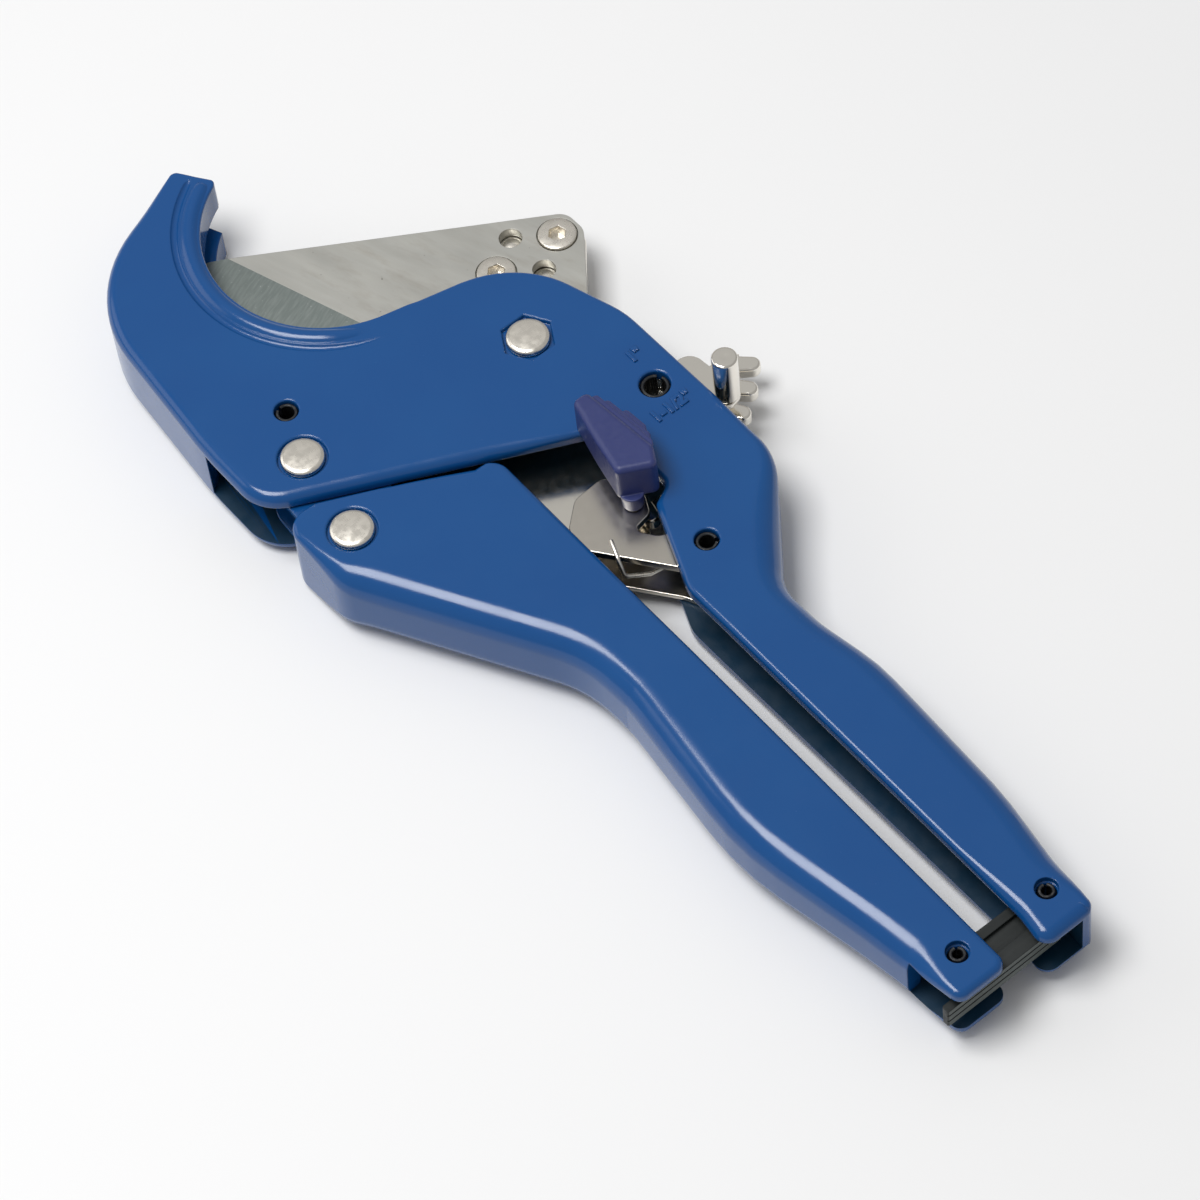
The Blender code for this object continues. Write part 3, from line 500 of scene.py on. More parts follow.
def combine(obj, tools, operation):
    for tool in tools:
        step = obj.modifiers.new(tool.name, "BOOLEAN")
        step.operation = operation
        step.solver = "EXACT"
        step.object = tool
    obj = baked(obj)
    for tool in tools:
        bpy.data.objects.remove(tool, do_unlink=True)
    return obj


def cut(obj, *tools):
    return combine(obj, tools, "DIFFERENCE")


def join(obj, *tools):
    return combine(obj, tools, "UNION")


def dress(obj, body, look, node=None, angle=32.0, weighted=True):
    """Lifts a finished piece to the mid-plane, shades it, gives it its material and hangs it on its body."""
    obj.data.transform(Matrix.Translation((0.0, 0.0, MID)))
    obj.data.materials.clear()
    looks = look if isinstance(look, (list, tuple)) else [look]
    for each in looks:
        obj.data.materials.append(each)
    obj.data.shade_smooth()
    obj.data.set_sharp_from_angle(angle=radians(angle))
    if weighted:
        step = obj.modifiers.new("normals", "WEIGHTED_NORMAL")
        step.keep_sharp = True
        step.weight = 80
    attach(obj, body)
    if node:
        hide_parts(node)


# ---- Castings ----

def slab(name, outline, low, high, rim, steps):
    """A solid between two heights, both edges rounded by rim(x, y) millimetres."""
    offsets = inward(outline)
    turns = [90.0 * k / steps for k in range(steps + 1)]
    sections = []
    for side, face in ((-1, low), (1, high)):
        for turn in (reversed(turns) if side < 0 else turns):
            ring = []
            for (x, y), offset in zip(outline, offsets):
                radius = rim(x, y)
                inset = offset * radius * (1.0 - cos(radians(turn)))
                ring.append((x + inset.x, y + inset.y, face - side * radius * (1.0 - sin(radians(turn)))))
            sections.append(ring)
    return lofted(name, sections)


def casting(name, outline, fillet):
    """A full-thickness slab whose edges are rounded by fillet(x, y)."""
    return slab(name, spread(outline, 2.2), -HALF, HALF, fillet, 8)


def plate(name, outline, low, high, holes=(), rim=0.22, steps=3):
    """A stamped plate with rounded edges and round holes, each given as (centre, radius)."""
    obj = slab(name, outline, low, high, lambda x, y: rim, steps)
    cutters = []
    for k, (centre, radius) in enumerate(holes):
        drill = [(0.0, high + 1.0), (radius, high + 1.0), (radius, low - 1.0), (0.0, low - 1.0)]
        cutters.append(turned(f"{name}_hole_{k}", centre, drill, 40))
    return cut(obj, *cutters)


def lipped_hole(name, centre, radius, depth, side=1, lip=0.45, segments=56):
    """A cutter for a round recess or hole whose rim is rounded by lip."""
    face = HALF * taper(centre[0])
    profile = [(0.0, face + 3.0), (radius + lip, face + 3.0)]
    profile += [(radius + lip - lip * sin(radians(a)), face - lip + lip * cos(radians(a)))
                for a in (0, 22, 45, 68, 90)]
    profile += [(radius, face - depth), (0.0, face - depth)]
    if side < 0:
        profile = [(r, -z) for r, z in reversed(profile)]
    return turned(name, centre, profile, segments)


def hex_recess():
    """A cutter for the hexagonal recess round the blade pivot, with a rounded rim."""
    sections = []
    lip = 0.45
    for height in (HALF - RECESS_DEPTH, HALF - lip):
        sections.append([(x, y, height) for x, y in hex_ring(BLADE_PIVOT, HEX_R, 90.0)])
    for a in (30, 60, 90):
        grow = lip * (1.0 - cos(radians(a)))
        height = HALF - lip + lip * sin(radians(a))
        sections.append([(x, y, height) for x, y in hex_ring(BLADE_PIVOT, HEX_R + grow, 90.0)])
    sections.append([(x, y, HALF + 3.0) for x, y in hex_ring(BLADE_PIVOT, HEX_R + lip, 90.0)])
    return lofted("hex_recess", sections)


def tapered(obj):
    """The casting with its grip made thinner towards the end."""
    work = bmesh.new()
    work.from_mesh(obj.data)
    for k in range(12):
        place = TAPER_FROM + (TAPER_TO - TAPER_FROM) * k / 12
        bmesh.ops.bisect_plane(
            work, geom=work.verts[:] + work.edges[:] + work.faces[:],
            plane_co=(place * MM, 0, 0), plane_no=(1, 0, 0),
        )
    for vert in work.verts:
        vert.co.z *= taper(vert.co.x / MM)
    bmesh.ops.triangulate(work, faces=[face for face in work.faces if len(face.verts) > 4])
    obj.data = new_mesh(obj.name, work)
    return obj


def paint_channel_shade(obj, open_side):
    """Gives the painted shade, the second material, to the faces inside a casting's channel, which is open
    to +Y (1) or to -Y (-1).
    """
    def inside(place):
        return abs(place.z - MID) <= (HALF - WALL) * taper(place.x / MM) * MM + 0.05 * MM

    for face in obj.data.polygons:
        faces_in = abs(face.normal.z) > 0.98 or face.normal.y * open_side > 0.3
        if faces_in and face.center.x > -30.0 * MM:
            if all(inside(obj.data.vertices[i].co) for i in face.vertices):
                face.material_index = 1


def frame_outline():
    """The frame's edge, from the hook's tip round the grip and back along the jaw."""
    jaw = arc(JAW_CENTRE, JAW_R, -13.0, -153.5, 44)
    return rounded([
        (-74.6, -24.2, 1.5), (-63.2, -53.9, 27.0), (-20.0, -58.1, 60.0), (-3.4, -58.3, 9.0),
        (25.2, -2.0, 3.0), (41.2, -2.0, 2.5), (43.2, -6.2, 1.5), (60.8, -13.7, 8.0),
        (146.0, -14.2, 10.0), (153.2, -15.3, 2.6), (153.2, -4.1, 2.0), (126.0, 0.5, 40.0),
        (93.0, 2.2, 40.0), (80.0, 0.1, 20.0), (70.0, 0.0, 10.0), (48.8, 16.7, 13.0),
        (7.2, 16.7, 20.0), (-15.5, 10.0, 20.0), *jaw, (-67.6, -19.8, 0.9), (-70.6, -21.8, 1.2),
    ])


def frame_fillet(x, y):
    """How far the frame's edges are rounded at a place on its outline."""
    if hypot(x - JAW_CENTRE[0], y - JAW_CENTRE[1]) < JAW_R + 0.8 or y > -23.0 and x < -60.0:
        return 0.5
    if x < -60.0:
        return blend(-y, 23.0, 36.0, 0.6, 2.2)
    if x > 44.0 and y > -5.0:
        return blend(x, 140.0, 152.0, blend(x, 44.0, 62.0, 2.0, 5.3), 1.4)
    if x > 40.0 and y < 0.0:
        return blend(x, 128.0, 146.0, 1.0, 2.2)
    if x > -22.0 and y > 0.0:
        return blend(x, 30.0, 44.0, 1.0, 2.0)
    if y > -3.0 or x < -17.0 and y > -20.0:
        return 0.9
    if x > 0.0:
        return blend(y, -24.0, -4.0, 2.2, 0.9)
    return 2.2


def frame_cavity():
    """A cutter for the space between the frame's walls."""
    inner_web = [
        (160.0, -7.2), (150.0, -6.6), (126.0, -2.4), (94.0, -1.0), (80.0, -3.0),
        (68.8, -3.0), (50.0, 12.0), (44.0, 13.6), (42.0, 40.0),
    ]
    corners = [
        (-50.0, -40.6, 3.0), (-51.0, -51.5, 3.0), (-30.0, -54.6), (-22.5, -54.9), (-13.0, -66.0),
        (60.0, -66.0), (160.0, -40.0), *inner_web, (-40.0, 40.0), (-40.0, -2.0), (-24.0, -12.0),
        *arc(JAW_CENTRE, 29.0, -24.0, -98.0, 20),
    ]
    return flat("frame_cavity", rounded(corners), -HALF + WALL, HALF - WALL)


def jaw_rim(name, radius, height, thickness, ends):
    """A wire along the jaw's edge whose ends run out."""
    shares = [(-152.5, ends[0]), (-150.5, 0.93), (-148.0, 0.98)]
    shares += [(-144.0 + 4.0 * k, 1.0) for k in range(27)]
    shares += [(-34.0, 0.93), (-28.0, 0.80), (-22.0, 0.62), (-16.0, ends[1])]
    path = [(*polar(JAW_CENTRE, radius, angle), height, share) for angle, share in shares]
    return wire(name, path, thickness, 7)


def rivet_bore(name, centre):
    # A cutter right through both walls.
    through = HALF * 2 + 1.0
    drill = [(0.0, through), (RIVET_BORE_R, through), (RIVET_BORE_R, -through), (0.0, -through)]
    return turned(name, centre, drill, 40)


def frame_piece():
    """The hooked jaw and upper grip in one casting."""
    obj = casting("frame_shell", frame_outline(), frame_fillet)
    inner = arc((-44.8, -9.6), 22.7, -146.0, -60.0, 30)
    outer = arc(JAW_CENTRE, 27.0, -62.0, -146.0, 24)
    lip = flat("far_jaw_lip", inner + outer, -HALF + 0.4, -SLOT_HALF)
    obj = join(obj, jaw_rim("jaw_bead", JAW_R + 2.1, HALF - 1.25, 2.0, (0.80, 0.45)), lip)
    slot = arc(JAW_CENTRE, SLOT_R, -20.0, -152.0, 30)
    slit = flat("slit", slot + [(-76.0, -14.0), (-70.0, 30.0), (0.0, 30.0), (0.0, -24.0)],
                -SLOT_HALF, SLOT_HALF)
    beyond = [(-80.0, -29.4), (-52.0, -18.2), (-52.0, 0.0), (-80.0, 0.0)]
    far_tip = flat("far_tip", beyond, -HALF - 1.0, -SLOT_HALF)
    obj = cut(obj, frame_cavity(), slit, far_tip)
    obj = cut(obj, jaw_rim("jaw_groove", JAW_R + 4.75, HALF + 0.32, 0.80, (0.5, 0.42)))
    tools = [hex_recess(), lipped_hole("blade_recess", BLADE_PIVOT, 4.7, RECESS_DEPTH, -1)]
    pin_holes = ((STOP_PIN, PIN_HOLE_R), (RELEASE_PIN, PIN_HOLE_R), (CATCH_PIN, GRIP_HOLE_R))
    for side in (1, -1):
        tools.append(lipped_hole(f"handle_recess_{side}", HANDLE_PIVOT, RECESS_R, RECESS_DEPTH, side))
        for k, (place, radius) in enumerate(pin_holes):
            tools.append(lipped_hole(f"pin_hole_{k}_{side}", place, radius, HALF - 1.0, side, 0.35, 40))
    tools.append(lipped_hole("selector_hole", SELECTOR_PIN, 2.85, HALF - 1.0, 1, 0.45, 48))
    obj = cut(obj, *tools)
    obj = cut(obj, rivet_bore("blade_bore", BLADE_PIVOT), rivet_bore("handle_bore", HANDLE_PIVOT))
    obj = tapered(obj)
    dress(obj, "frame", [PAINT, CHANNEL_PAINTED_SHADE], "frame_casting", 28.0)
    # The faces inside the channel get painted shade.
    paint_channel_shade(obj, -1)


def handle_piece():
    """The lower grip: a hinge end, a channel open towards the frame and a pin's eye."""
    outline = rounded([
        (2.1, -57.3, 4.2), (18.5, -57.5, 9.0), (58.5, -35.9, 25.0), (70.0, -35.5, 30.0),
        (104.0, -39.9, 60.0), (130.0, -35.4, 60.0), (151.7, -32.4, 2.2), (151.7, -21.9, 2.2),
        (100.0, -21.3), (60.0, -21.0), (17.2, -20.4, 4.0), (2.4, -50.4, 4.0),
    ])

    def fillet(x, y):
        if y < -24.0 and x > 8.0:
            return blend(x, 138.0, 150.0, blend(x, 8.0, 24.0, 1.6, 5.0), 1.3)
        return 1.3

    obj = casting("handle_shell", outline, fillet)
    corners = [
        (-8.0, -54.6), (17.4, -54.8, 6.0), (57.6, -32.8, 22.0), (70.0, -32.4, 30.0),
        (104.0, -36.8, 60.0), (129.6, -32.4, 40.0), (140.2, -30.9), (140.8, -44.0),
        (170.0, -44.0), (170.0, -10.0), (-8.0, -10.0),
    ]
    obj = cut(obj, flat("handle_cavity", rounded(corners), -HALF + WALL, HALF - WALL))
    tools = []
    for side in (1, -1):
        tools.append(lipped_hole(f"strap_recess_{side}", HANDLE_RIVET, RECESS_R, RECESS_DEPTH, side))
        tools.append(lipped_hole(f"latch_hole_{side}", LATCH_PIN, GRIP_HOLE_R, HALF - 1.0, side, 0.35, 40))
    obj = cut(obj, *tools)
    obj = tapered(cut(obj, rivet_bore("strap_bore", HANDLE_RIVET)))
    dress(obj, "handle", [PAINT, CHANNEL_PAINTED_SHADE], "handle_casting", 28.0)
    # The faces inside the channel get painted shade.
    paint_channel_shade(obj, 1)


def size_mark(name, text, place, size):
    """A raised size mark on the near face, reading along +Y."""
    curve = bpy.data.curves.new(name, "FONT")
    curve.body = text
    curve.size = size * MM
    curve.align_x = "CENTER"
    curve.align_y = "CENTER"
    curve.extrude = 0.18 * MM
    curve.bevel_depth = 0.09 * MM
    curve.bevel_resolution = 2
    curve.offset = 0.10 * MM
    obj = add(name, curve)
    obj.rotation_euler = (0.0, 0.0, pi / 2)
    obj.location = (place[0] * MM, place[1] * MM, (HALF + 0.05) * MM)
    dress(baked(obj), "frame", PAINT, None, 40.0, False)


# ---- Pins, rivets and springs ----

def rivet(node, body):
    """A solid rivet: flat ends with a rounded, slightly upset rim."""
    top = heights(node)[1]
    rim = RIVET_HEAD_R
    half = [(0.0, top), (rim - 0.75, top), (rim - 0.62, top - 0.03)]
    half += [(rim - 0.5 + 0.5 * sin(radians(a)), top - 0.62 + 0.5 * cos(radians(a)))
             for a in (10, 35, 60, 90)]
    half += [(rim, 7.4), (RIVET_SHANK_R, 7.4)]
    profile = half + [(r, -z) for r, z in reversed(half)]
    obj = turned(node + "_fine", plan(node), profile, 72)
    dress(obj, body, NICKEL, node, 50.0)


def roll_pin(node, centre, radius, split, body):
    """A rolled spring pin with rounded ends and its split."""
    low, high = heights(node)
    bore = radius - ROLL_PIN_WALL
    rim = 0.16
    first = split + ROLL_PIN_SPLIT / 2
    last = split + 360.0 - ROLL_PIN_SPLIT / 2
    rings = []
    for height, shrink in ((low, rim), (low + rim, 0.0), (high - rim, 0.0), (high, rim)):
        outer = arc(centre, radius - shrink, first, last, 44)
        inner = arc(centre, bore + shrink, last, first, 44)
        rings.append([(x, y, height) for x, y in outer + inner])
    dress(lofted(node + "_fine", rings), body, OXIDE, node, 40.0)


def touch_angle(centre, radius, place, side):
    """The angle at which a straight line from place touches the circle, on one side of it."""
    away = Vector(place[:2]) - Vector(centre)
    return degrees(atan2(away.y, away.x)) + side * degrees(acos(radius / away.length))


def coil(node, centre, radius, thickness, low, turns, path_in, path_out, body):
    """A torsion spring: a close coil between two bent legs."""
    steps = 40
    pitch = 2 * thickness + 0.12
    start = touch_angle(centre, radius, path_in[-1], 1)
    finish = touch_angle(centre, radius, path_out[0], -1)
    sweep = 360.0 * turns + (finish - start) % 360.0
    count = int(sweep / 360.0 * steps)
    path = [(x, y, low + thickness + z) for x, y, z in path_in]
    for k in range(count + 1):
        height = low + thickness + pitch * sweep * k / count / 360.0
        path.append((*polar(centre, radius, start + sweep * k / count), height))
    end = path[-1][2]
    path += [(x, y, end + z) for x, y, z in path_out]
    dress(wire(node + "_fine", path, thickness), body, NICKEL, node, 60.0, False)


def round_piece(node, body, bore=0.0):
    """A plain turned pin, or a bush when it has a bore."""
    low, high = heights(node)
    radius = (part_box(node)[1].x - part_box(node)[0].x) / 2 / MM
    rim = 0.2
    profile = [(bore, high), (radius - rim, high), (radius, high - rim),
               (radius, low + rim), (radius - rim, low), (bore, low)]
    obj = turned(node + "_fine", plan(node), profile, 48)
    dress(obj, body, DULL_NICKEL, node, 50.0)


# ---- Blade group ----

def blade_piece():
    """The blade, with its bevel ground by a tilted block."""
    outline = rounded([
        (-58.4, -30.2, 1.0), (-55.6, -36.0, 2.0), (-50.95, -37.0, 2.0), (-24.0, -28.5, 2.0),
        (-17.5, -17.5, 6.0), (-6.5, -9.5, 3.0), (9.5, -6.0, 5.0), (9.5, 6.3, 6.0),
        (-16.7, 26.0, 3.4), (-21.8, 26.0, 3.4),
    ])
    holes = [ring_of(BLADE_PIVOT, 4.3)] + [ring_of(place, 2.25) for place in SCREWS]
    holes += [ring_of(place, 2.2) for place in DOWELS]
    obj = flat("blade_fine", outline, *BLADE_Z, holes)
    along = Vector(BEVEL_RUN).normalized()
    start = Vector(BEVEL_START) - along * 20.0
    work = bmesh.new()
    bmesh.ops.create_cube(work, size=1.0)
    tilt = atan2(BLADE_Z[1] - BLADE_Z[0] - BEVEL_EDGE, BEVEL_WIDTH)
    turn = Matrix.Rotation(atan2(along.y, along.x), 4, "Z") @ Matrix.Rotation(tilt, 4, "X")
    matrix = Matrix.Translation((start.x * MM, start.y * MM, BLADE_Z[1] * MM)) @ turn
    matrix = matrix @ Matrix.Translation((25 * MM, -15 * MM, 3 * MM))
    matrix = matrix @ Matrix.Diagonal((70 * MM, 30 * MM, 6 * MM, 1.0))
    bmesh.ops.transform(work, matrix=matrix, verts=work.verts)
    tools = [add("grind", new_mesh("grind", work))]
    for k, centre in enumerate(SCREWS):
        sink = [(0.0, BLADE_Z[1] + 2.0), (4.15, BLADE_Z[1] + 2.0), (3.85, BLADE_Z[1] - 0.15),
                (3.85, BLADE_Z[1] - 0.8), (0.0, BLADE_Z[1] - 0.8)]
        tools.append(turned(f"sink_{k}", centre, sink, 56))
    obj = cut(obj, *tools)
    slope = turn.to_3x3() @ Vector((0, 0, 1))
    dress(obj, "blade", [BLADE_STEEL, BEVEL_STEEL], "blade", 6.0)
    for face in obj.data.polygons:
        if (face.normal - slope).length < 0.02:
            face.material_index = 1


def screw_piece(node):
    """A flat-head screw with a hexagon socket."""
    centre = plan(node)
    top = heights(node)[1]
    under = BLADE_Z[1] - 0.5
    profile = [(0.0, top), (3.25, top), (3.52, top - 0.10), (3.64, top - 0.36), (3.64, under),
               (2.0, under), (2.0, CARRIER_Z[0]), (0.0, CARRIER_Z[0])]
    obj = turned(node + "_fine", centre, profile, 64)
    flare = [[(x, y, z) for x, y in hex_ring(centre, r, 15.0)]
             for z, r in ((top - 1.9, 1.55), (top - 0.22, 1.62), (top + 0.5, 2.15))]
    obj = cut(obj, lofted("socket", flare))
    dress(obj, "blade", NICKEL, node, 35.0)


def carrier_piece():
    """The sector behind the blade, with a row of round-nosed teeth."""
    teeth = []
    for number in reversed(range(TOOTH_COUNT)):
        angle = TOOTH_TOP_ANGLE - TOOTH_PITCH * number
        radial = Vector((cos(radians(angle)), sin(radians(angle))))
        side = Vector((-radial.y, radial.x))
        nose = TOOTH_TIP_R - TOOTH_HALF
        points = [radial * TOOTH_ROOT_R - side * (TOOTH_HALF + 0.15)]
        points += [radial * (nose + TOOTH_HALF * cos(radians(a))) + side * TOOTH_HALF * sin(radians(a))
                   for a in range(-90, 91, 15)]
        points.append(radial * TOOTH_ROOT_R + side * (TOOTH_HALF + 0.15))
        teeth += [tuple(point) for point in points]
    outline = teeth + rounded([
        polar(BLADE_PIVOT, TOOTH_ROOT_R, 52.4), (20.6, 27.4, 1.5), (21.4, 24.0, 2.0),
        (17.8, 20.0, 3.0), (10.0, 15.5, 8.0), (-4.5, 16.6, 4.0), (-16.9, 26.5, 3.2),
        (-21.4, 25.2, 3.0), (-28.0, 16.0, 3.0), (-27.0, 10.5, 4.0), (-17.5, 1.0, 5.0),
        (-12.5, -8.5, 6.0), (2.0, -14.5, 8.0), (12.0, -19.0, 8.0), polar(BLADE_PIVOT, TOOTH_ROOT_R, -35.0),
    ])
    holes = [(BLADE_PIVOT, 4.3)] + [(place, 2.25) for place in SCREWS] + [(place, 1.62) for place in DOWELS]
    obj = plate("carrier_fine", outline, *CARRIER_Z, holes, 0.55, 4)
    dress(obj, "blade", CHROME, "blade_carrier", 40.0)


def dowel_piece(node):
    """A short pin that locates the blade on the sector."""
    top = BLADE_Z[0] + 0.2
    profile = [(0.0, top), (1.35, top), (1.6, top - 0.2), (1.6, CARRIER_Z[0]), (0.0, CARRIER_Z[0])]
    obj = turned(node + "_fine", plan(node), profile, 40)
    dress(obj, "blade", NICKEL, node, 40.0)


# ---- Plates between the castings ----

def strap_piece(node):
    """A strap that carries the lower grip on the hinge rivet."""
    outline = rounded([
        (-13.3, -46.1, 6.6), (-9.0, -53.0, 6.0), (11.7, -54.4, 5.0), (28.2, -43.0, 4.4),
        (23.8, -35.4, 4.4), (-6.5, -38.6, 6.0), (-12.0, -40.0, 5.0),
    ])
    holes = [(HANDLE_PIVOT, 4.3), (HANDLE_RIVET, 3.3), (PAWL_PIN, 2.3)]
    obj = plate(node + "_fine", outline, *heights(node), holes)
    dress(obj, "handle", PAINT, node)


def release_piece(node, *holes):
    """One of the two hooked plates that turn on the release pin."""
    outline = rounded([
        (61.0, -8.0, 3.6), (61.0, -1.0, 4.0), (52.6, 1.6, 4.0), (46.2, 9.8, 3.4), (41.6, 5.0, 3.4),
        (46.2, -2.5, 3.0), (48.6, -8.3, 3.0), (43.4, -11.8, 1.0), (42.6, -7.2, 2.0),
        (38.0, -4.9, 3.0), (31.0, -8.6, 2.0), (31.4, -15.2, 3.0), (35.6, -20.0, 2.0), (41.2, -20.6, 2.5),
        (55.2, -10.6, 5.6),
    ])
    obj = plate(node + "_fine", outline, *heights(node), [(RELEASE_PIN, 2.3), (PAWL_RIVET, 1.8), *holes])
    dress(obj, "release_lever", DULL_NICKEL, node)


def pawl_pieces():
    """The drive pawl on the grip and the hold pawl between the release plates."""
    nose = polar(BLADE_PIVOT, TOOTH_TIP_R + 0.5, -36.5)
    heel = polar(BLADE_PIVOT, TOOTH_TIP_R + 0.7, -43.0)
    eye = arc(PAWL_PIN, 3.8, 150.0, 325.0, 35)
    drive = eye + rounded([
        eye[-1], (nose[0] + 4.2, nose[1] - 2.6, 1.5), (nose[0] + 1.6, nose[1] + 1.2, 0.8), (*nose, 0.4),
        (*heel, 1.0), (22.6, -36.4, 3.0), eye[0],
    ])[1:-1]
    obj = plate("drive_pawl_fine", drive, *CARRIER_Z, [(PAWL_PIN, 2.3)])
    dress(obj, "drive_pawl", DULL_NICKEL, "drive_pawl")
    nose = polar(BLADE_PIVOT, TOOTH_TIP_R + 0.45, 11.0)
    hold = rounded([
        (*nose, 0.4), (42.6, 3.4, 1.0), (46.4, 1.8, 2.4), (49.6, 5.8, 2.6), (45.8, 9.2, 3.2),
        (42.4, 10.6, 0.8),
    ])
    obj = plate("hold_pawl_fine", hold, *heights("hold_pawl"), [(PAWL_RIVET, 1.8)])
    dress(obj, "release_lever", DULL_NICKEL, "hold_pawl")


def thumb_block(name, corners, low, drop, rim=1.1):
    """A block whose top slopes up to the right, with a rounded top rim."""
    block = rounded(corners, 8.0)
    offsets = inward(block)
    sections = [[(x, y, low) for x, y in block]]
    for a in (0, 15, 30, 45, 60, 75, 90):
        shift = rim * (1.0 - cos(radians(a)))
        fall = rim * (1.0 - sin(radians(a)))
        ring = []
        for (x, y), offset in zip(block, offsets):
            top = HALF + blend(x, 20.0, 42.0, 8.0, 8.5) - drop
            ring.append((x + offset.x * shift, y + offset.y * shift, top - fall))
        sections.append(ring)
    return lofted(name, sections)


def thumb_piece():
    """The thumb lever: a sloping block with three terraces on a hollow stem."""
    low = HALF + 0.4
    obj = thumb_block("thumb_lever_fine", [
        (21.2, -6.3, 1.3), (30.5, -8.8, 6.0), (38.6, -10.6, 1.2), (42.2, -4.2, 1.3),
        (38.4, -2.0, 2.0), (21.2, -3.0, 1.2),
    ], low, 0.0)
    steps = []
    for k, corners in enumerate((
        [(22.4, -3.6, 0.3), (38.0, -4.0, 0.3), (39.6, -3.0, 0.8), (37.2, -1.2, 1.5), (22.8, -2.0, 0.7)],
        [(24.0, -3.6, 0.3), (37.0, -4.0, 0.3), (38.2, -2.4, 0.8), (35.4, -0.3, 1.5), (24.6, -1.0, 0.8)],
        [(27.0, -3.6, 0.3), (35.6, -4.0, 0.3), (36.4, -1.8, 0.8), (33.2, 0.5, 1.4), (28.2, 0.3, 0.8)],
    ), 1):
        steps.append(thumb_block(f"thumb_step_{k}", corners, low + 0.02 * k, 0.62 * k, 0.25))
    profile = [(0.0, low + 0.6), (2.2, low + 0.6), (1.9, 5.6), (1.7, 5.35), (0.0, 5.35)]
    obj = join(obj, *steps, turned("stem", STEM, profile, 48))
    bore = turned("stem_bore", STEM, [(0.0, low + 0.4), (1.45, low + 0.4), (1.45, 2.0), (0.0, 2.0)], 32)
    dress(cut(obj, bore), "release_lever", VIOLET, "thumb_lever", 35.0)


def selector_pieces():
    """The opening selector's plate and the post that it is turned by."""
    outline = rounded([
        (19.2, 21.6, 3.0), (18.2, 6.0, 5.0), (28.6, 4.6, 5.0), (33.4, 19.4, 1.8), (32.5, 22.7, 1.8),
    ])
    obj = plate("selector_plate_fine", outline, *SELECTOR_Z, [(SELECTOR_PIN, 2.9), (POST, 1.3)], 0.3)
    dress(obj, "selector", CHROME, "selector_plate")
    top = heights("selector_post")[1]
    base = SELECTOR_Z[1] + 0.3
    profile = [(0.0, top), (0.35, top - 0.05), (0.5, top), (1.95, top), (2.2, top - 0.06),
               (2.36, top - 0.22), (2.4, top - 0.5), (2.4, base), (1.0, base),
               (1.0, SELECTOR_Z[0]), (0.0, SELECTOR_Z[0])]
    obj = turned("selector_post_fine", POST, profile, 64)
    dress(obj, "selector", CHROME, "selector_post", 40.0)


def latch_piece():
    """The latch at the grips' ends: a bar with two cheeks, ledges, a pocket and a cup."""
    half = heights("latch")[1]
    cup = arc(CATCH_PIN, 2.7, -6.0, -90.0, 16)
    cheek = rounded([
        (142.0, -30.1, 3.0), (148.9, -30.1, 0.4), (148.9, -34.0, 0.4), (150.5, -34.0, 0.4),
        (150.5, -9.2, 0.8), (149.6, -8.0, 0.3), (148.7, -8.0), *cup, (142.3, -10.6, 1.0),
    ])
    obj = flat("latch_fine", cheek, -half, half, [ring_of(LATCH_PIN, 1.8)])
    hollow = rounded([
        (136.0, -27.0), (136.0, -36.0), (147.6, -36.0, 0.5), (147.6, -8.0, 0.5), (136.0, -2.0),
    ])
    tools = [flat("hollow", hollow, -half + 1.2, half - 1.2)]
    for k, height in enumerate((-0.7, 1.0)):
        ledge = [(150.15, -50.0), (160.0, -50.0), (160.0, 0.0), (150.15, 0.0)]
        tools.append(flat(f"ledge_{k}", ledge, height - 0.18, height + 0.18))
    pocket = rounded([(144.0, -22.0, 0.6), (147.4, -22.0, 0.6), (147.4, -12.6, 0.6), (144.0, -12.6, 0.6)])
    tools.append(flat("pocket", pocket, half - 0.8, half + 1.0))
    obj = cut(obj, *tools)
    dress(obj, "latch", [NYLON, NYLON_PAINTED_REFLECTION], "latch", 40.0)
    # The outer +X face of the bar gets the lighter nylon, a painted reflection at a grazing angle.
    for face in obj.data.polygons:
        if face.normal.x > 0.9 and face.center.x > 150.0 * MM:
            face.material_index = 1


frame_piece()
handle_piece()
size_mark("size_mark_small", "1\"", (16.2, 11.4), 3.5)
size_mark("size_mark_large", "1-1/2\"", (29.3, 9.0), 3.5)
rivet("blade_pivot_rivet", "frame")
rivet("handle_pivot_rivet", "frame")
rivet("handle_strap_rivet", "handle")
roll_pin("stop_roll_pin", STOP_PIN, 2.0, 200.0, "frame")
roll_pin("selector_roll_pin", SELECTOR_PIN, 2.6, 120.0, "frame")
roll_pin("release_roll_pin", RELEASE_PIN, 2.0, 60.0, "frame")
roll_pin("catch_roll_pin", CATCH_PIN, 1.5, 150.0, "frame")
roll_pin("latch_roll_pin", LATCH_PIN, 1.5, 150.0, "handle")
coil("handle_spring", HANDLE_PIVOT, 5.3, 0.5, -0.4, 2, [(-14.0, -37.2, 0)], [(7.6, -40.6, 0)], "frame")
coil("blade_spring", BLADE_PIVOT, 5.3, 0.5, 1.6, 1, [(-3.2, -12.0, 0)], [(13.0, 0.5, 0)], "frame")
coil("drive_pawl_spring", PAWL_PIN, 3.1, 0.35, -0.8, 2, [(15.0, -45.6, 0)], [(28.4, -32.6, 0)], "handle")
bent_leg = [
    (50.4, -14.0, 0), (48.5, -17.4, 0.6), (48.1, -17.9, 1.3), (46.6, -17.7, 3.4), (46.0, -17.5, 3.85),
    (42.6, -16.1, 3.85),
]
coil("release_spring", RELEASE_PIN, 3.2, 0.40, -1.2, 2, [(66.0, -3.4, 0)], bent_leg, "release_lever")
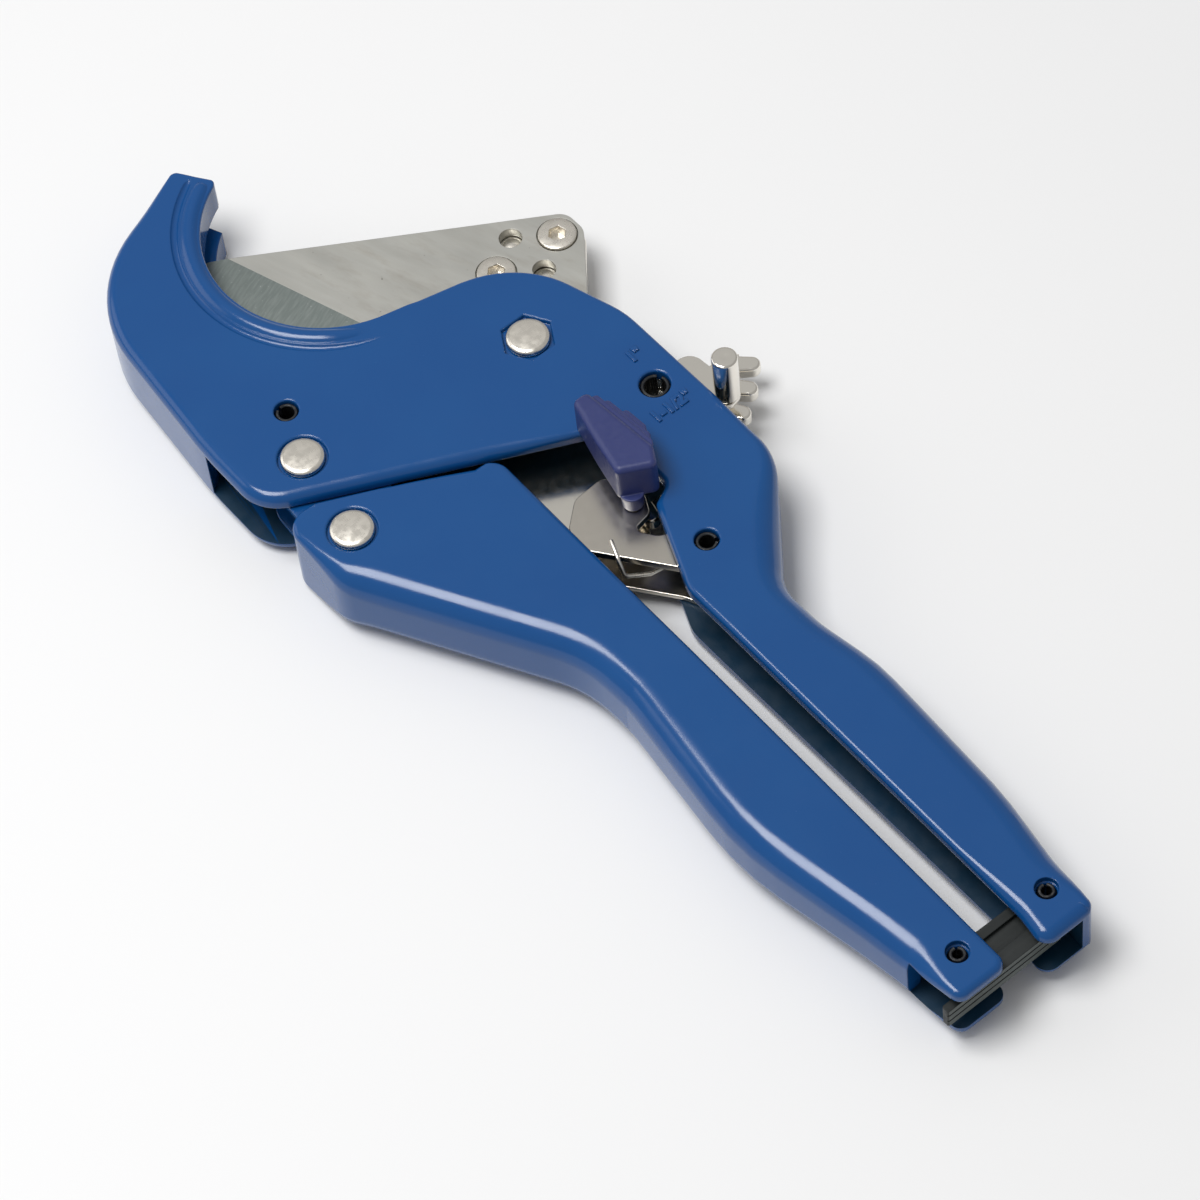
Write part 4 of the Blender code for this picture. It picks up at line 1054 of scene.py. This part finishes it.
blade_piece()
for node in ("blade_screw_1", "blade_screw_2"):
    screw_piece(node)
for node in ("blade_dowel_1", "blade_dowel_2"):
    dowel_piece(node)
carrier_piece()
strap_piece("handle_strap_near")
strap_piece("handle_strap_far")
release_piece("release_plate_near", (STEM, 1.5))
release_piece("release_plate_far")
pawl_pieces()
thumb_piece()
selector_pieces()
latch_piece()
round_piece("blade_bush", "frame", BUSH_BORE_R)
round_piece("handle_bush", "frame", BUSH_BORE_R)
round_piece("pawl_pin", "handle")
round_piece("hold_pawl_rivet", "release_lever")
round_piece("thumb_lever_pin", "release_lever")


# ---- Studio ----

def floor():
    """The pale table that the tool lies on."""
    work = bmesh.new()
    bmesh.ops.create_grid(work, x_segments=1, y_segments=1, size=6.0)
    obj = add("floor", new_mesh("floor", work))
    obj.location.z = CAD_BOX[0].z
    look = Shader("pale_floor", (0.86, 0.86, 0.86), 0.6)
    look.tint(look.ramp(look.noise(3.0, 2.0), 0.0, 0.3), (0.84, 0.84, 0.845))
    obj.data.materials.append(look.material)


def soft_light(name, direction, distance, size, power):
    """A rectangular light that looks at the tool from a direction."""
    data = bpy.data.lights.new(name, "AREA")
    data.shape = "RECTANGLE"
    data.size, data.size_y = size
    data.energy = power
    obj = add(name, data)
    aim = Vector((0.04, -0.02, 0.0))
    back = Vector(direction).normalized()
    obj.location = aim + back * distance
    obj.rotation_euler = (-back).to_track_quat("-Z", "Y").to_euler()


floor()
soft_light("overhead", (-0.17, -0.26, 0.95), 1.0, (0.50, 0.46), 7.5)
soft_light("left_fill", (-0.75, -0.50, 0.45), 1.4, (0.9, 0.7), 2.0)
soft_light("white_card", (-0.4714, 0.3087, 0.8261), 1.6, (1.2, 1.2), 0.5)
world = bpy.data.worlds.new("studio")
world.use_nodes = True
world.node_tree.nodes["Background"].inputs["Color"].default_value = (1.0, 1.0, 1.0, 1.0)
world.node_tree.nodes["Background"].inputs["Strength"].default_value = 0.36
bpy.context.scene.world = world
bpy.context.scene.view_settings.view_transform = "Standard"

# The camera looks as the photograph's does: its lens, its axes and its place in metres.
camera_data = bpy.data.cameras.new("camera")
camera_data.lens = 147.9
camera_data.sensor_width = 36.0
camera_data.clip_start = 0.01
camera = add("camera", camera_data)
RIGHT = Vector((0.6343, 0.7695, -0.0744))
UP = Vector((-0.6127, 0.5591, 0.5585))
BACK = Vector((0.4714, -0.3087, 0.8261))
rotation = Matrix((RIGHT, UP, BACK)).transposed().to_4x4()
camera.matrix_world = Matrix.Translation((0.4523, -0.2883, 0.7086 + MID)) @ rotation
bpy.context.scene.camera = camera
